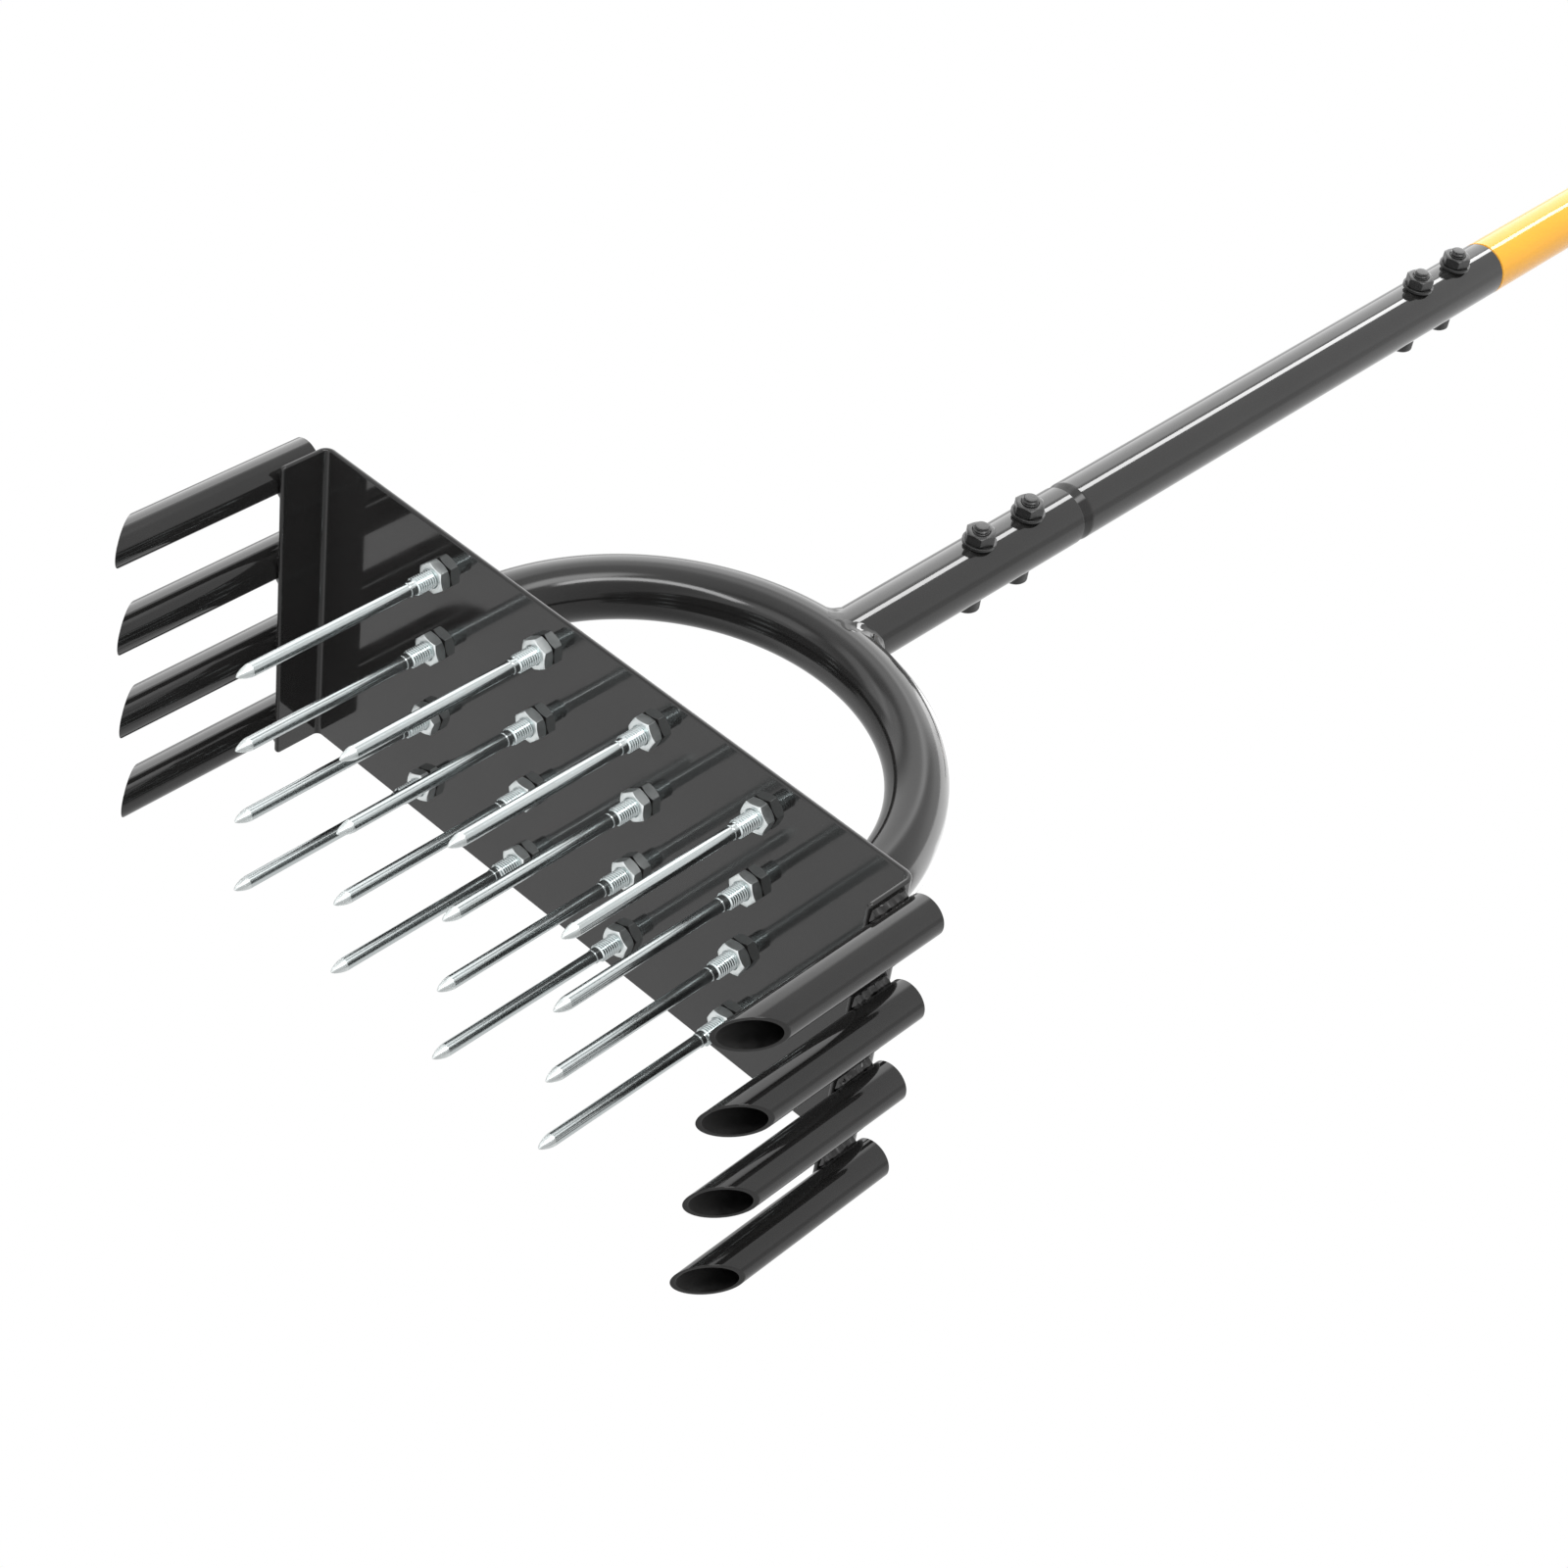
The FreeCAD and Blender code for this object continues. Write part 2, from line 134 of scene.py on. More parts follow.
class AeratorColours(bpy.types.PropertyGroup):
    black: colour("Black paint", "Gloss paint of the head, yoke and lower handle", 0.0125, 0.0122, 0.012)
    yellow: colour("Yellow paint", "Gloss paint of the upper handle", 0.90, 0.42, 0.016)
    turned_zinc: colour("Turned zinc", "Duller, whiter zinc on nuts and points", 0.90, 0.94, 0.935)
    thread_zinc: colour("Thread zinc", "Bluer, brighter zinc on the threads", 0.80, 0.86, 0.865)
    zinc: colour("Zinc", "Bright zinc plating of the rods", 0.65, 0.69, 0.69)
    fastener: colour("Fastener", "Black finish of the joint bolts", 0.016, 0.016, 0.016)
    rubber: colour("Rubber", "Hand grips", 0.022, 0.022, 0.023)
    plastic: colour("Plastic", "Cap on the handle's top", 0.026, 0.026, 0.027)
    floor: colour("Floor", "Plain studio floor", 0.80, 0.80, 0.80)


class StudioSettings(bpy.types.PropertyGroup):
    lens: bpy.props.FloatProperty(name="Lens", description="Focal length on a 36 mm wide sensor",
                                  default=70.353, unit="CAMERA")
    camera_place: triple("Camera place", "Where the camera stands",
                         (0.76694, -1.04704, -0.72214), "TRANSLATION", unit="LENGTH")
    camera_right: triple("Camera right", "Direction of the picture's right side",
                         (0.72025, -0.12587, 0.6822), "DIRECTION")
    camera_down: triple("Camera down", "Direction of the picture's lower side",
                        (0.52819, 0.73704, -0.42165), "DIRECTION")
    surround: bpy.props.FloatProperty(name="Surround", description="Brightness of the studio in reflections",
                                      default=1.0, min=0.0)
    fill: bpy.props.FloatProperty(name="Fill", description="Brightness of the studio as light on the pieces",
                                  default=0.85, min=0.0)


def sizes():
    return bpy.context.scene.aerator_sizes


def colours():
    return bpy.context.scene.aerator_colours


# Mesh building


def polar(radius, angle, height):
    return (radius * math.cos(angle), radius * math.sin(angle), height)


def arc(degrees):
    """Cosine and sine of an angle in degrees."""
    angle = math.radians(degrees)
    return math.cos(angle), math.sin(angle)


def grid_faces(rows, columns, closed_rows=False, closed_columns=True):
    """Quads between the points of a grid that is stored row by row."""
    faces = []
    for i in range(rows if closed_rows else rows - 1):
        for j in range(columns if closed_columns else columns - 1):
            a, b = i * columns, ((i + 1) % rows) * columns
            k = (j + 1) % columns
            faces.append((a + j, a + k, b + k, b + j))
    return faces


class Shape:
    """Points and faces that are gathered before they become one mesh."""

    def __init__(self):
        self.points = []
        self.faces = []

    def add(self, points, faces, matrix=None):
        base = len(self.points)
        self.points += [tuple(matrix @ Vector(p)) if matrix else tuple(p) for p in points]
        self.faces += [tuple(base + i for i in face) for face in faces]
        return self

    def rings(self, rings, matrix=None, loop=False, lids=True):
        """Joins equal closed rings of points in order, with flat lids at the two ends."""
        count = len(rings[0])
        points = [p for ring in rings for p in ring]
        faces = grid_faces(len(rings), count, closed_rows=loop)
        if lids and not loop:
            faces.append(tuple(reversed(range(count))))
            faces.append(tuple(range((len(rings) - 1) * count, len(rings) * count)))
        return self.add(points, faces, matrix)

    def lathe(self, outline, steps=64, matrix=None, loop=False):
        """Turns (radius, height) points about Z. A loop closes on its first point."""
        turns = [2 * math.pi * i / steps for i in range(steps)]
        rings = [[polar(radius, angle, height) for angle in turns] for radius, height in outline]
        return self.rings(rings, matrix, loop)


def rounded(outline, radius, steps=4):
    """The closed outline with each corner replaced by an arc of up to the given radius."""
    made = []
    for i, here in enumerate(outline):
        here = Vector(here)
        before = Vector(outline[i - 1]) - here
        after = Vector(outline[(i + 1) % len(outline)]) - here
        angle = before.angle(after)
        reach = min(radius / math.tan(angle / 2), before.length * 0.49, after.length * 0.49)
        depth = reach * math.tan(angle / 2)
        centre = here + (before.normalized() + after.normalized()).normalized() * (depth / math.sin(angle / 2))
        first = here + before.normalized() * reach - centre
        last = here + after.normalized() * reach - centre
        opening = first.angle(last)
        for k in range(steps + 1):
            share = k / steps
            point = first * math.sin((1 - share) * opening) + last * math.sin(share * opening)
            made.append(tuple(centre + point / math.sin(opening)))
    return made


def piece(name, shape, finish_name, node, sharp=32, place=None):
    """One named object from a shape, in place, riding with the tool."""
    mesh = bpy.data.meshes.new(name)
    mesh.from_pydata(shape.points, [], shape.faces)
    mesh.validate()
    mesh.update()
    mesh.shade_smooth()
    mesh.set_sharp_from_angle(angle=math.radians(sharp))
    mesh.materials.append(finish(finish_name))
    return piece_of(name, mesh, node, place)


def piece_of(name, mesh, node, place=None):
    made = bpy.data.objects.new(name, mesh)
    bpy.context.scene.collection.objects.link(made)
    flats = made.modifiers.new("flats_lead_the_shading", "WEIGHTED_NORMAL")
    flats.keep_sharp = True
    flats.weight = 100
    if place is not None:
        made.matrix_world = place
    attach(made, BODY)
    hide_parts(node)
    return made


def fillet(shape, stations, hollow, mound, ripple, closed=False, relief=0.07 * MM, seed=0.0, steps=9, lumps=150):
    """A weld along stations of seam, two feet and outward direction, with crescent ripples between its feet."""
    count = len(stations)
    rings = []
    travelled = 0.0
    for i, (seam, first, last, out) in enumerate(stations):
        if i:
            travelled += (seam - stations[i - 1][0]).length
        end = 1.0
        if not closed:
            near = min(i, count - 1 - i) / 2.5
            end = math.sqrt(max(0.03, 1 - (1 - min(1.0, near)) ** 2))
        wander = [1 + 0.10 * noise.noise(seam * 330 + Vector((seed, k * 7.7, 0))) for k in (1, 2)]
        first = seam.lerp(first, end * min(1.04, wander[0])) - out * 0.12 * MM
        last = seam.lerp(last, end * min(1.04, wander[1])) - out * 0.12 * MM
        pull = (first + last) / 2
        pull = pull + (seam - pull) * hollow
        ring = []
        for k in range(steps + 1):
            t = k / steps
            bulge = 4 * t * (1 - t)
            place = first * (1 - t) ** 2 + pull * 2 * t * (1 - t) + last * t ** 2
            phase = ((travelled + 1.1 * MM * bulge) / ripple) % 1.0
            lift = relief * (math.sqrt(max(0.0, 1 - (2 * phase - 1) ** 2)) - 0.5)
            lift += mound + 0.55 * MM * noise.noise(place * lumps + Vector((0, seed, 0)))
            ring.append(place + out * lift * math.sqrt(bulge) * end)
        ring.append(seam - out * 0.6 * MM)
        rings.append(ring)
    heart = sum(rings[0], Vector()) / len(rings[0])
    facing = (rings[0][0] - heart).cross(rings[0][steps // 2] - heart)
    if facing.dot(stations[1][0] - stations[0][0]) < 0:
        rings = [ring[::-1] for ring in rings]
    return shape.rings(rings, loop=closed)


def hex_nut(shape, size, height, matrix):
    """A hex nut from zero up to its height, with bevelled corners and a countersunk bore."""
    half = size.nut_flats / 2
    bore = size.thread / 2 + size.bore_play
    face = half * 0.95
    tilt = math.tan(math.radians(30))
    sink = size.nut_sink
    turns = []
    for side in range(6):
        for a in (-30, -29.2, -27.5, -22, -14, -5, 5, 14, 22, 27.5, 29.2):
            blunt = 0.1 * MM if abs(a) > 29.9 else 0.03 * MM if abs(a) > 29 else 0.0
            turns.append((math.radians(60 * side + a + 30), half / math.cos(math.radians(a)) - blunt))

    def ring(radius_of, height_of):
        return [polar(radius_of(reach), angle, height_of(reach)) for angle, reach in turns]

    def drop(reach):
        return max(0.0, reach - face) * tilt

    def shared(reach):
        return min(face, reach)

    rings = [
        ring(lambda r: bore, lambda r: sink),
        ring(lambda r: bore + sink, lambda r: 0.0),
        ring(shared, lambda r: 0.0),
        ring(lambda r: r - 0.12 * MM, lambda r: max(0.0, drop(r) - 0.07 * MM)),
        ring(lambda r: r, lambda r: drop(r) + 0.08 * MM),
        ring(lambda r: r, lambda r: height - drop(r) - 0.08 * MM),
        ring(lambda r: r - 0.12 * MM, lambda r: height - max(0.0, drop(r) - 0.07 * MM)),
        ring(shared, lambda r: height),
        ring(lambda r: bore + sink, lambda r: height),
        ring(lambda r: bore, lambda r: height - sink),
    ]
    return shape.rings(rings, matrix, loop=True)


def helix(shape, size, low, high, matrix=None, fade_low=0.0, fade_high=0.0):
    """A V thread wound as one strip round its core. The fades are the turns that it needs to rise and fall."""
    steps = 28
    pitch = size.thread_pitch
    depth = size.thread_depth
    root = size.thread / 2 - depth
    turns = (high - low) / pitch - 1
    count = int(turns * steps)
    profile = ((0.0, 0.0), (0.36, 0.93), (0.43, 1.0), (0.57, 1.0), (0.64, 0.93), (1.0, 0.0))
    points = []
    for i in range(count + 1):
        turn = i / steps
        fade = 1.0
        if fade_low and turn < fade_low:
            fade = turn / fade_low
        if fade_high and turns - turn < fade_high:
            fade = min(fade, (turns - turn) / fade_high)
        for offset, rise in profile:
            points.append(polar(root + depth * rise * fade, 2 * math.pi * turn, low + pitch * (turn + offset)))
    faces = grid_faces(count + 1, len(profile), closed_columns=False)
    return shape.add(points, [tuple(reversed(face)) for face in faces], matrix)


# Finishes


class Wiring:
    """Short hand for building a node tree."""

    def __init__(self, tree):
        self.tree = tree
        self.coordinates = self.node("ShaderNodeTexCoord")

    def put(self, socket, value):
        if isinstance(value, bpy.types.NodeSocket):
            self.tree.links.new(value, socket)
        else:
            socket.default_value = value

    def node(self, kind, inputs=None, **settings):
        """A new node with its settings, and with its inputs set or linked."""
        made = self.tree.nodes.new(kind)
        for key, value in settings.items():
            setattr(made, key, value)
        for key, value in (inputs or {}).items():
            self.put(made.inputs[key], value)
        return made

    def spread(self, source, low, high, from_low=0.3, from_high=0.7, **settings):
        """Carries the source's range over to another range."""
        inputs = {"Value": source, "From Min": from_low, "From Max": from_high, "To Min": low, "To Max": high}
        return self.node("ShaderNodeMapRange", inputs, **settings).outputs["Result"]

    def math(self, operation, *values):
        return self.node("ShaderNodeMath", dict(enumerate(values)), operation=operation).outputs[0]


class Finish(Wiring):
    """One material's node tree."""

    def __init__(self, name):
        self.material = bpy.data.materials.new(name)
        self.material.use_nodes = True
        super().__init__(self.material.node_tree)
        self.shader = self.tree.nodes["Principled BSDF"]

    def noise(self, scale, detail=3.0, rough=0.5, stretch=None):
        place = self.coordinates.outputs["Object"]
        if stretch:
            place = self.node("ShaderNodeMapping", {"Scale": stretch, "Vector": place}).outputs["Vector"]
        inputs = {"Scale": scale, "Detail": detail, "Roughness": rough, "Vector": place}
        return self.node("ShaderNodeTexNoise", inputs).outputs["Fac"]

    def blend(self, factor, first, second):
        return self.node("ShaderNodeMix", {0: factor, 6: first, 7: second}, data_type="RGBA").outputs[2]

    def bump(self, height, strength, distance, under=None):
        inputs = {"Strength": strength, "Distance": distance, "Height": height}
        if under is not None:
            inputs["Normal"] = under
        return self.node("ShaderNodeBump", inputs).outputs["Normal"]

    def done(self, sockets):
        """Sets the shader's sockets and hands over the material."""
        for name, value in sockets.items():
            self.put(self.shader.inputs[name], value)
        return self.material


def shade(rgba, factor):
    return tuple(min(1.0, c * factor) for c in rgba[:3]) + (1.0,)


def gloss_paint(name, rgba, ior=1.6, rough=0.045, peel=1.0, cloud=0.22):
    """Sprayed gloss paint: faint clouding, orange peel and tiny specks under a hard shine."""
    made = Finish(name)
    specks = made.noise(900, 1, 0.4)
    base = made.blend(made.spread(made.noise(9, 4, 0.55), 0, 1), shade(rgba, 1 - cloud), shade(rgba, 1 + cloud))
    base = made.blend(made.spread(specks, 0.0, 0.5, 0.66, 0.8), base, shade(rgba, 1.2))
    fine = made.bump(made.noise(500, 1, 0.4), 0.02 * peel, 0.00003)
    return made.done({
        "Base Color": base,
        "Roughness": made.spread(made.noise(40, 3), rough, rough + 0.05),
        "IOR": ior,
        "Normal": made.bump(made.noise(95, 2, 0.4), 0.10 * peel, 0.00008, fine),
    })


def zinc_plate(name, rgba, rough=0.2, grain=1.0):
    """Bright zinc on drawn and turned steel: lengthwise draw marks, soft bloom and small dull spots."""
    made = Finish(name)
    draw = made.noise(60, 4, 0.55, stretch=(12, 12, 0.6))
    bloom = made.noise(150, 3, 0.6)
    spots = made.noise(900, 2, 0.5)
    bloomed = (rgba[0] * 0.88, rgba[1] * 0.94, rgba[2] * 0.97, 1)
    tone = made.blend(made.spread(draw, 0, 1), shade(rgba, 1 - 0.07 * grain), shade(rgba, 1 + 0.05 * grain))
    tone = made.blend(made.spread(bloom, 0.0, 0.3 * grain), tone, bloomed)
    tone = made.blend(made.spread(spots, 0.0, 0.3 * grain, 0.66, 0.80), tone, shade(rgba, 0.75))
    return made.done({
        "Base Color": tone,
        "Metallic": 1.0,
        "Roughness": made.spread(bloom, rough, rough * 1.35),
        "Normal": made.bump(draw, 0.02 * grain, 0.00001, made.bump(bloom, 0.03 * grain, 0.00002)),
    })


def black_fastener(name, rgba):
    """Black finished steel of the bolts: duller than the paint, and mottled."""
    made = Finish(name)
    return made.done({
        "Base Color": made.blend(made.spread(made.noise(420, 4, 0.6), 0, 1), shade(rgba, 0.75), shade(rgba, 1.5)),
        "Roughness": made.spread(made.noise(700, 3), 0.24, 0.42),
        "IOR": 1.6,
        "Coat Weight": 0.35,
        "Coat Roughness": 0.12,
        "Normal": made.bump(made.noise(1500, 3, 0.6), 0.18, 0.00005),
    })


def grip_rubber(name, rgba):
    """Moulded rubber: matt, finely pebbled, greyer where hands rub it."""
    made = Finish(name)
    pebble = made.node("ShaderNodeTexVoronoi", {"Scale": 1500, "Vector": made.coordinates.outputs["Object"]})
    rubbed = made.noise(35, 4, 0.6)
    return made.done({
        "Base Color": made.blend(made.spread(rubbed, 0, 1), shade(rgba, 0.8), shade(rgba, 1.6)),
        "Roughness": made.spread(rubbed, 0.62, 0.82),
        "IOR": 1.5,
        "Normal": made.bump(pebble.outputs["Distance"], 0.25, 0.00008),
    })


def moulded_plastic(name, rgba):
    """Satin moulded plastic with a fine spark texture."""
    made = Finish(name)
    spark = made.noise(2400, 3, 0.6)
    return made.done({
        "Base Color": made.blend(made.spread(made.noise(60, 3), 0, 1), shade(rgba, 0.85), shade(rgba, 1.25)),
        "Roughness": made.spread(spark, 0.42, 0.58),
        "Normal": made.bump(spark, 0.2, 0.00004),
    })


def thin_bore_paint(name, rgba):
    """Thin dusty overspray on the inside of a tube: dull and uneven, with a colour darker on the whole than the outer
    paint, which is painted shade inside the bore.
    """
    made = Finish(name)
    dusty = made.noise(160, 4, 0.6)
    return made.done({
        # Painted shade: the colour runs from 0.6 to 1.2 times the black paint, darker on the whole than the outer
        # paint, for the shade inside the bore
        "Base Color": made.blend(made.spread(dusty, 0, 1), shade(rgba, 0.6), shade(rgba, 1.2)),
        "Roughness": made.spread(dusty, 0.45, 0.7),
        "IOR": 1.35,
        "Normal": made.bump(dusty, 0.2, 0.0001),
    })


# Each finish by name: what builds it, its colour in the panel, and its own settings
FINISHES = {
    "gloss_black_paint": (gloss_paint, "black", {}),
    "stretched_black_paint": (gloss_paint, "black", {"rough": 0.10, "peel": 1.5}),
    "heat_waved_black_paint": (gloss_paint, "black", {"peel": 2.4}),
    "painted_weld_metal": (gloss_paint, "black", {"peel": 4}),
    # The tines' bore paint is dull, and darker on the whole as painted shade inside the bore
    "thin_bore_paint": (thin_bore_paint, "black", {}),
    "gloss_yellow_paint": (gloss_paint, "yellow", {"ior": 1.5, "cloud": 0.05}),
    "painted_yellow_weld": (gloss_paint, "yellow", {"ior": 1.5, "peel": 4, "cloud": 0.06}),
    "bright_zinc_plating": (zinc_plate, "zinc", {"rough": 0.17}),
    "turned_zinc_plating": (zinc_plate, "turned_zinc", {"rough": 0.34, "grain": 0.5}),
    "thread_zinc_plating": (zinc_plate, "thread_zinc", {"rough": 0.15, "grain": 0.3}),
    "black_fastener_finish": (black_fastener, "fastener", {}),
    "ribbed_grip_rubber": (grip_rubber, "rubber", {}),
    "moulded_cap_plastic": (moulded_plastic, "plastic", {}),
}


def finish(name):
    """The named finish, built the first time that a piece asks for it."""
    made = bpy.data.materials.get(name)
    if made is None:
        build, paint, settings = FINISHES[name]
        made = build(name, tuple(getattr(colours(), paint)), **settings)
    return made


# The head: plate, tines, spikes and their nuts


def plate_section(size):
    """Points along the sheet's middle line, each with its outward normal."""
    low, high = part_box("head_plate")
    half = size.sheet / 2
    mean = size.bend_radius + half
    outer, top = high.x - half, high.z - half
    corner_x, corner_z = outer - mean, top - mean
    line = []
    for share in (0.0, 0.02, 0.04, 0.07, 0.1, 0.13, 0.2, 0.5, 1.0):
        line.append((Vector((outer, 0, low.z + (corner_z - low.z) * share)), Vector((1, 0, 0))))
    for k in range(1, 13):
        across, up = arc(90 * k / 12)
        normal = Vector((across, 0, up))
        line.append((Vector((corner_x, 0, corner_z)) + normal * mean, normal))
    for share in (0.94, 0.7, 0.4, 0.15, 0.0):
        line.append((Vector((corner_x * share, 0, top)), Vector((0, 0, 1))))
    return line + mirrored(line[:-1])


def mirrored(line):
    """The same points and normals on the other side of the tool, in reverse order."""
    return [(Vector((-p.x, 0, p.z)), Vector((-n.x, 0, n.z))) for p, n in reversed(line)]


def plate_shape(size):
    """The folded sheet: closed rings across its width that follow the fold line."""
    width = span("head_plate").y / 2
    half = size.sheet / 2
    edge = size.sheet_edge
    corner = size.flange_corner
    section = plate_section(size)
    starts = [0.0]
    for (p, _), (q, _) in zip(section, section[1:]):
        starts.append(starts[-1] + (q - p).length)
    total = starts[-1]
    marks = [edge * (1 - arc(a)[0]) for a in (0, 25, 50, 72, 90)]
    marks += [corner * s for s in (0.35, 0.5, 0.65, 0.8, 1.0)]
    marks = sorted(set(marks + [total - m for m in marks] + starts[4:-4]))
    rings = []
    for mark in marks:
        index = max(i for i, s in enumerate(starts) if s <= mark + 1e-9)
        index = min(index, len(section) - 2)
        share = (mark - starts[index]) / (starts[index + 1] - starts[index])
        place = section[index][0].lerp(section[index + 1][0], share)
        normal = section[index][1].lerp(section[index + 1][1], share).normalized()
        from_end = min(mark, total - mark)
        thin = edge - math.sqrt(max(0.0, edge ** 2 - max(0.0, edge - from_end) ** 2))
        cut = corner - math.sqrt(max(0.0, corner ** 2 - max(0.0, corner - from_end) ** 2))
        y, t = width - cut, half - thin
        round_edge = min(edge, t)
        ring = []
        for sy, st, start in ((1, 1, 0), (-1, 1, 90), (-1, -1, 180), (1, -1, 270)):
            for a in (0, 22.5, 45, 67.5, 90):
                along, up = arc(start + a)
                ring.append(place + normal * (st * (t - round_edge) + round_edge * up)
                            + Vector((0, sy * (y - round_edge) + round_edge * along, 0)))
        rings.append(ring)
    return Shape().rings(rings)


class AERATOR_OT_head_plate(bpy.types.Operator):
    """Builds the folded head plate with rounded sheet edges"""
    bl_idname = "aerator.head_plate"
    bl_label = "Head Plate"

    def execute(self, context):
        piece("head_plate_sheet", plate_shape(sizes()), "gloss_black_paint", "head_plate", sharp=40)
        return {"FINISHED"}


# Points of the outline that is swept round a tine's wall, and those that bound its bore
TINE_OUTLINE = 10
TINE_BORE = (4, 5)


def tine_shape(node, size):
    """An open tube whose slanted mouth faces away from the plate."""
    low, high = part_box(node)
    centre = (low + high) / 2
    outer = (high.y - low.y) / 2
    inner = outer - size.tine_wall
    lip = size.tine_lip
    away = 1 if centre.x > 0 else -1
    slope = size.tine_mouth / (2 * outer)
    lean = 0.72
    steps = 96
    rings = []
    for i in range(steps):
        across, along, _ = polar(1, 2 * math.pi * i / steps, 0)

        def cut(reach):
            return low.z + slope * (reach * across * away + outer)

        profile = [(outer, cut(outer) + lip * 1.6), (outer - lip * 0.3, cut(outer) + lip * 0.5),
                   (outer - lip, cut(outer - lip)), (inner + lip, cut(inner + lip)),
                   (inner + lip * 0.3, cut(inner) + lip * 0.5), (inner, cut(inner) + lip * 1.6),
                   (inner, high.z - lip), (inner + lip * lean, high.z), (outer - lip * lean, high.z),
                   (outer, high.z - lip)]
        rings.append([(centre.x + r * across, centre.y + r * along, z) for r, z in profile])
    return Shape().rings(rings, loop=True)


class AERATOR_OT_tines(bpy.types.Operator):
    """Builds the eight open coring tines with their slanted mouths"""
    bl_idname = "aerator.tines"
    bl_label = "Coring Tines"

    def execute(self, context):
        for _, word in SIDES:
            for number in range(1, 5):
                node = "tine_%s_%d" % (word, number)
                shape = tine_shape(node, sizes())
                made = piece(node + "_tube", shape, "gloss_black_paint", node, sharp=28)
                # The bores take the dull paint whose darker colour is painted shade inside the tube
                made.data.materials.append(finish("thin_bore_paint"))
                for face in made.data.polygons:
                    face.use_smooth = True
                    if face.index % TINE_OUTLINE in TINE_BORE:
                        face.material_index = 1
        return {"FINISHED"}


def tine_weld(shape, side, word, number, hand, size):
    """One bead in the groove between a tine and the flange, on one hand of the tine."""
    weld_low, weld_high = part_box("tine_welds_" + word)
    plate_low, plate_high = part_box("head_plate")
    low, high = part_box("tine_%s_%d" % (word, number))
    face = plate_high.x if side > 0 else plate_low.x
    centre = (low + high) / 2
    radius = (high.y - low.y) / 2
    climb = abs(weld_high.x - weld_low.x) - 0.04 * MM
    reach = math.sqrt(radius ** 2 - (abs(centre.x - face) - climb) ** 2)
    out = Vector((side * 0.5, hand * 0.87, 0))
    stations = []
    count = 52
    for i in range(count + 1):
        z = weld_low.z + (weld_high.z - weld_low.z) * i / count
        stations.append((Vector((face, centre.y + hand * 3.5 * MM, z)),
                         Vector((face, centre.y + hand * (reach + size.tine_weld_leg), z)),
                         Vector((face + side * climb, centre.y + hand * reach, z)), out))
    fillet(shape, stations, 0.0, 0.25 * MM, size.weld_ripple, relief=0.12 * MM,
           seed=number + hand * 0.3 + side, lumps=260)


class AERATOR_OT_tine_welds(bpy.types.Operator):
    """Builds the rippled beads that hold the tines to the flanges"""
    bl_idname = "aerator.tine_welds"
    bl_label = "Tine Welds"

    def execute(self, context):
        for side, word in SIDES:
            shape = Shape()
            for number in range(1, 5):
                for hand in (-1, 1):
                    tine_weld(shape, side, word, number, hand, sizes())
            piece("tine_weld_beads_" + word, shape, "painted_weld_metal", "tine_welds_" + word,
                  sharp=60)
        return {"FINISHED"}


def thread_foot(size):
    """Height at which the spikes' front thread ends."""
    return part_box("spike_nuts_front")[0].z - size.thread_below_nut


def spike_shape(size):
    """One spike about Z: tail, thread, shoulder, rod and bulging point."""
    low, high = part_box("spike_a1")
    nut_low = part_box("spike_nuts_front")[0].z
    nut_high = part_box("spike_nuts_back")[1].z
    root = size.thread / 2 - size.thread_depth
    rod = size.rod / 2
    wide = size.shoulder_across / 2
    flat = size.point_flat
    thread_low = thread_foot(size)
    shoulder_low = thread_low - size.spike_shoulder
    tip = low.z
    outline = [(flat / 2, tip + 0.02 * MM), (flat - 0.08 * MM, tip + 0.16 * MM)]
    last = 8
    for k in range(1, last + 1):
        share = 0.045 + 0.955 * k / last
        radius = flat + (rod - flat) * share + 4 * size.point_bulge * share * (1 - share)
        level = tip + size.point * share
        outline.append((radius - 0.05 * MM, level - 0.1 * MM) if k == last else (radius, level))
    outline += [(rod, tip + size.point + 0.15 * MM), (rod, tip + size.point + 30 * MM),
                (rod, shoulder_low - 0.5 * MM), (rod + 0.06 * MM, shoulder_low - 0.42 * MM),
                (wide - 0.06 * MM, shoulder_low - 0.06 * MM), (wide, shoulder_low + 0.05 * MM),
                (wide, thread_low - 0.05 * MM), (root, thread_low + 0.1 * MM), (root, high.z - 0.5 * MM),
                (root - 0.15 * MM, high.z - 0.12 * MM), (root - 0.5 * MM, high.z)]
    shape = Shape().lathe(outline, steps=44)
    helix(shape, size, thread_low - 0.25 * MM, nut_low + 2.2 * MM, fade_low=0.35)
    helix(shape, size, nut_high - 2.5 * MM, high.z - 0.15 * MM, fade_high=0.9)
    return shape


class AERATOR_OT_spikes(bpy.types.Operator):
    """Builds the sixteen zinc plated spikes with their wound threads"""
    bl_idname = "aerator.spikes"
    bl_label = "Spikes"

    def execute(self, context):
        size = sizes()
        point_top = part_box("spike_a1")[0].z + size.point - 0.08 * MM
        thread_low = thread_foot(size) - 0.02 * MM
        first = None
        for index, node in enumerate(SPIKE_NODES):
            centre = middle(node)
            place = Matrix.Translation((centre.x, centre.y, 0)) @ Matrix.Rotation(index * 2.399, 4, "Z")
            if first:
                piece_of(node + "_rod", first.data, node, place)
                continue
            first = piece(node + "_rod", spike_shape(size), "bright_zinc_plating", node,
                          sharp=38, place=place)
            first.data.materials.append(finish("turned_zinc_plating"))
            first.data.materials.append(finish("thread_zinc_plating"))
            for face in first.data.polygons:
                if face.center.z < point_top:
                    face.material_index = 1
                elif face.center.z > thread_low:
                    face.material_index = 2
        return {"FINISHED"}


# Turn of each front nut in degrees, column by column from the left
FRONT_NUT_TURNS = (17, 10, 44, 38, 26, 12, 0, 12, 53, 22, 21, 41, 47, 4, 51, 51)


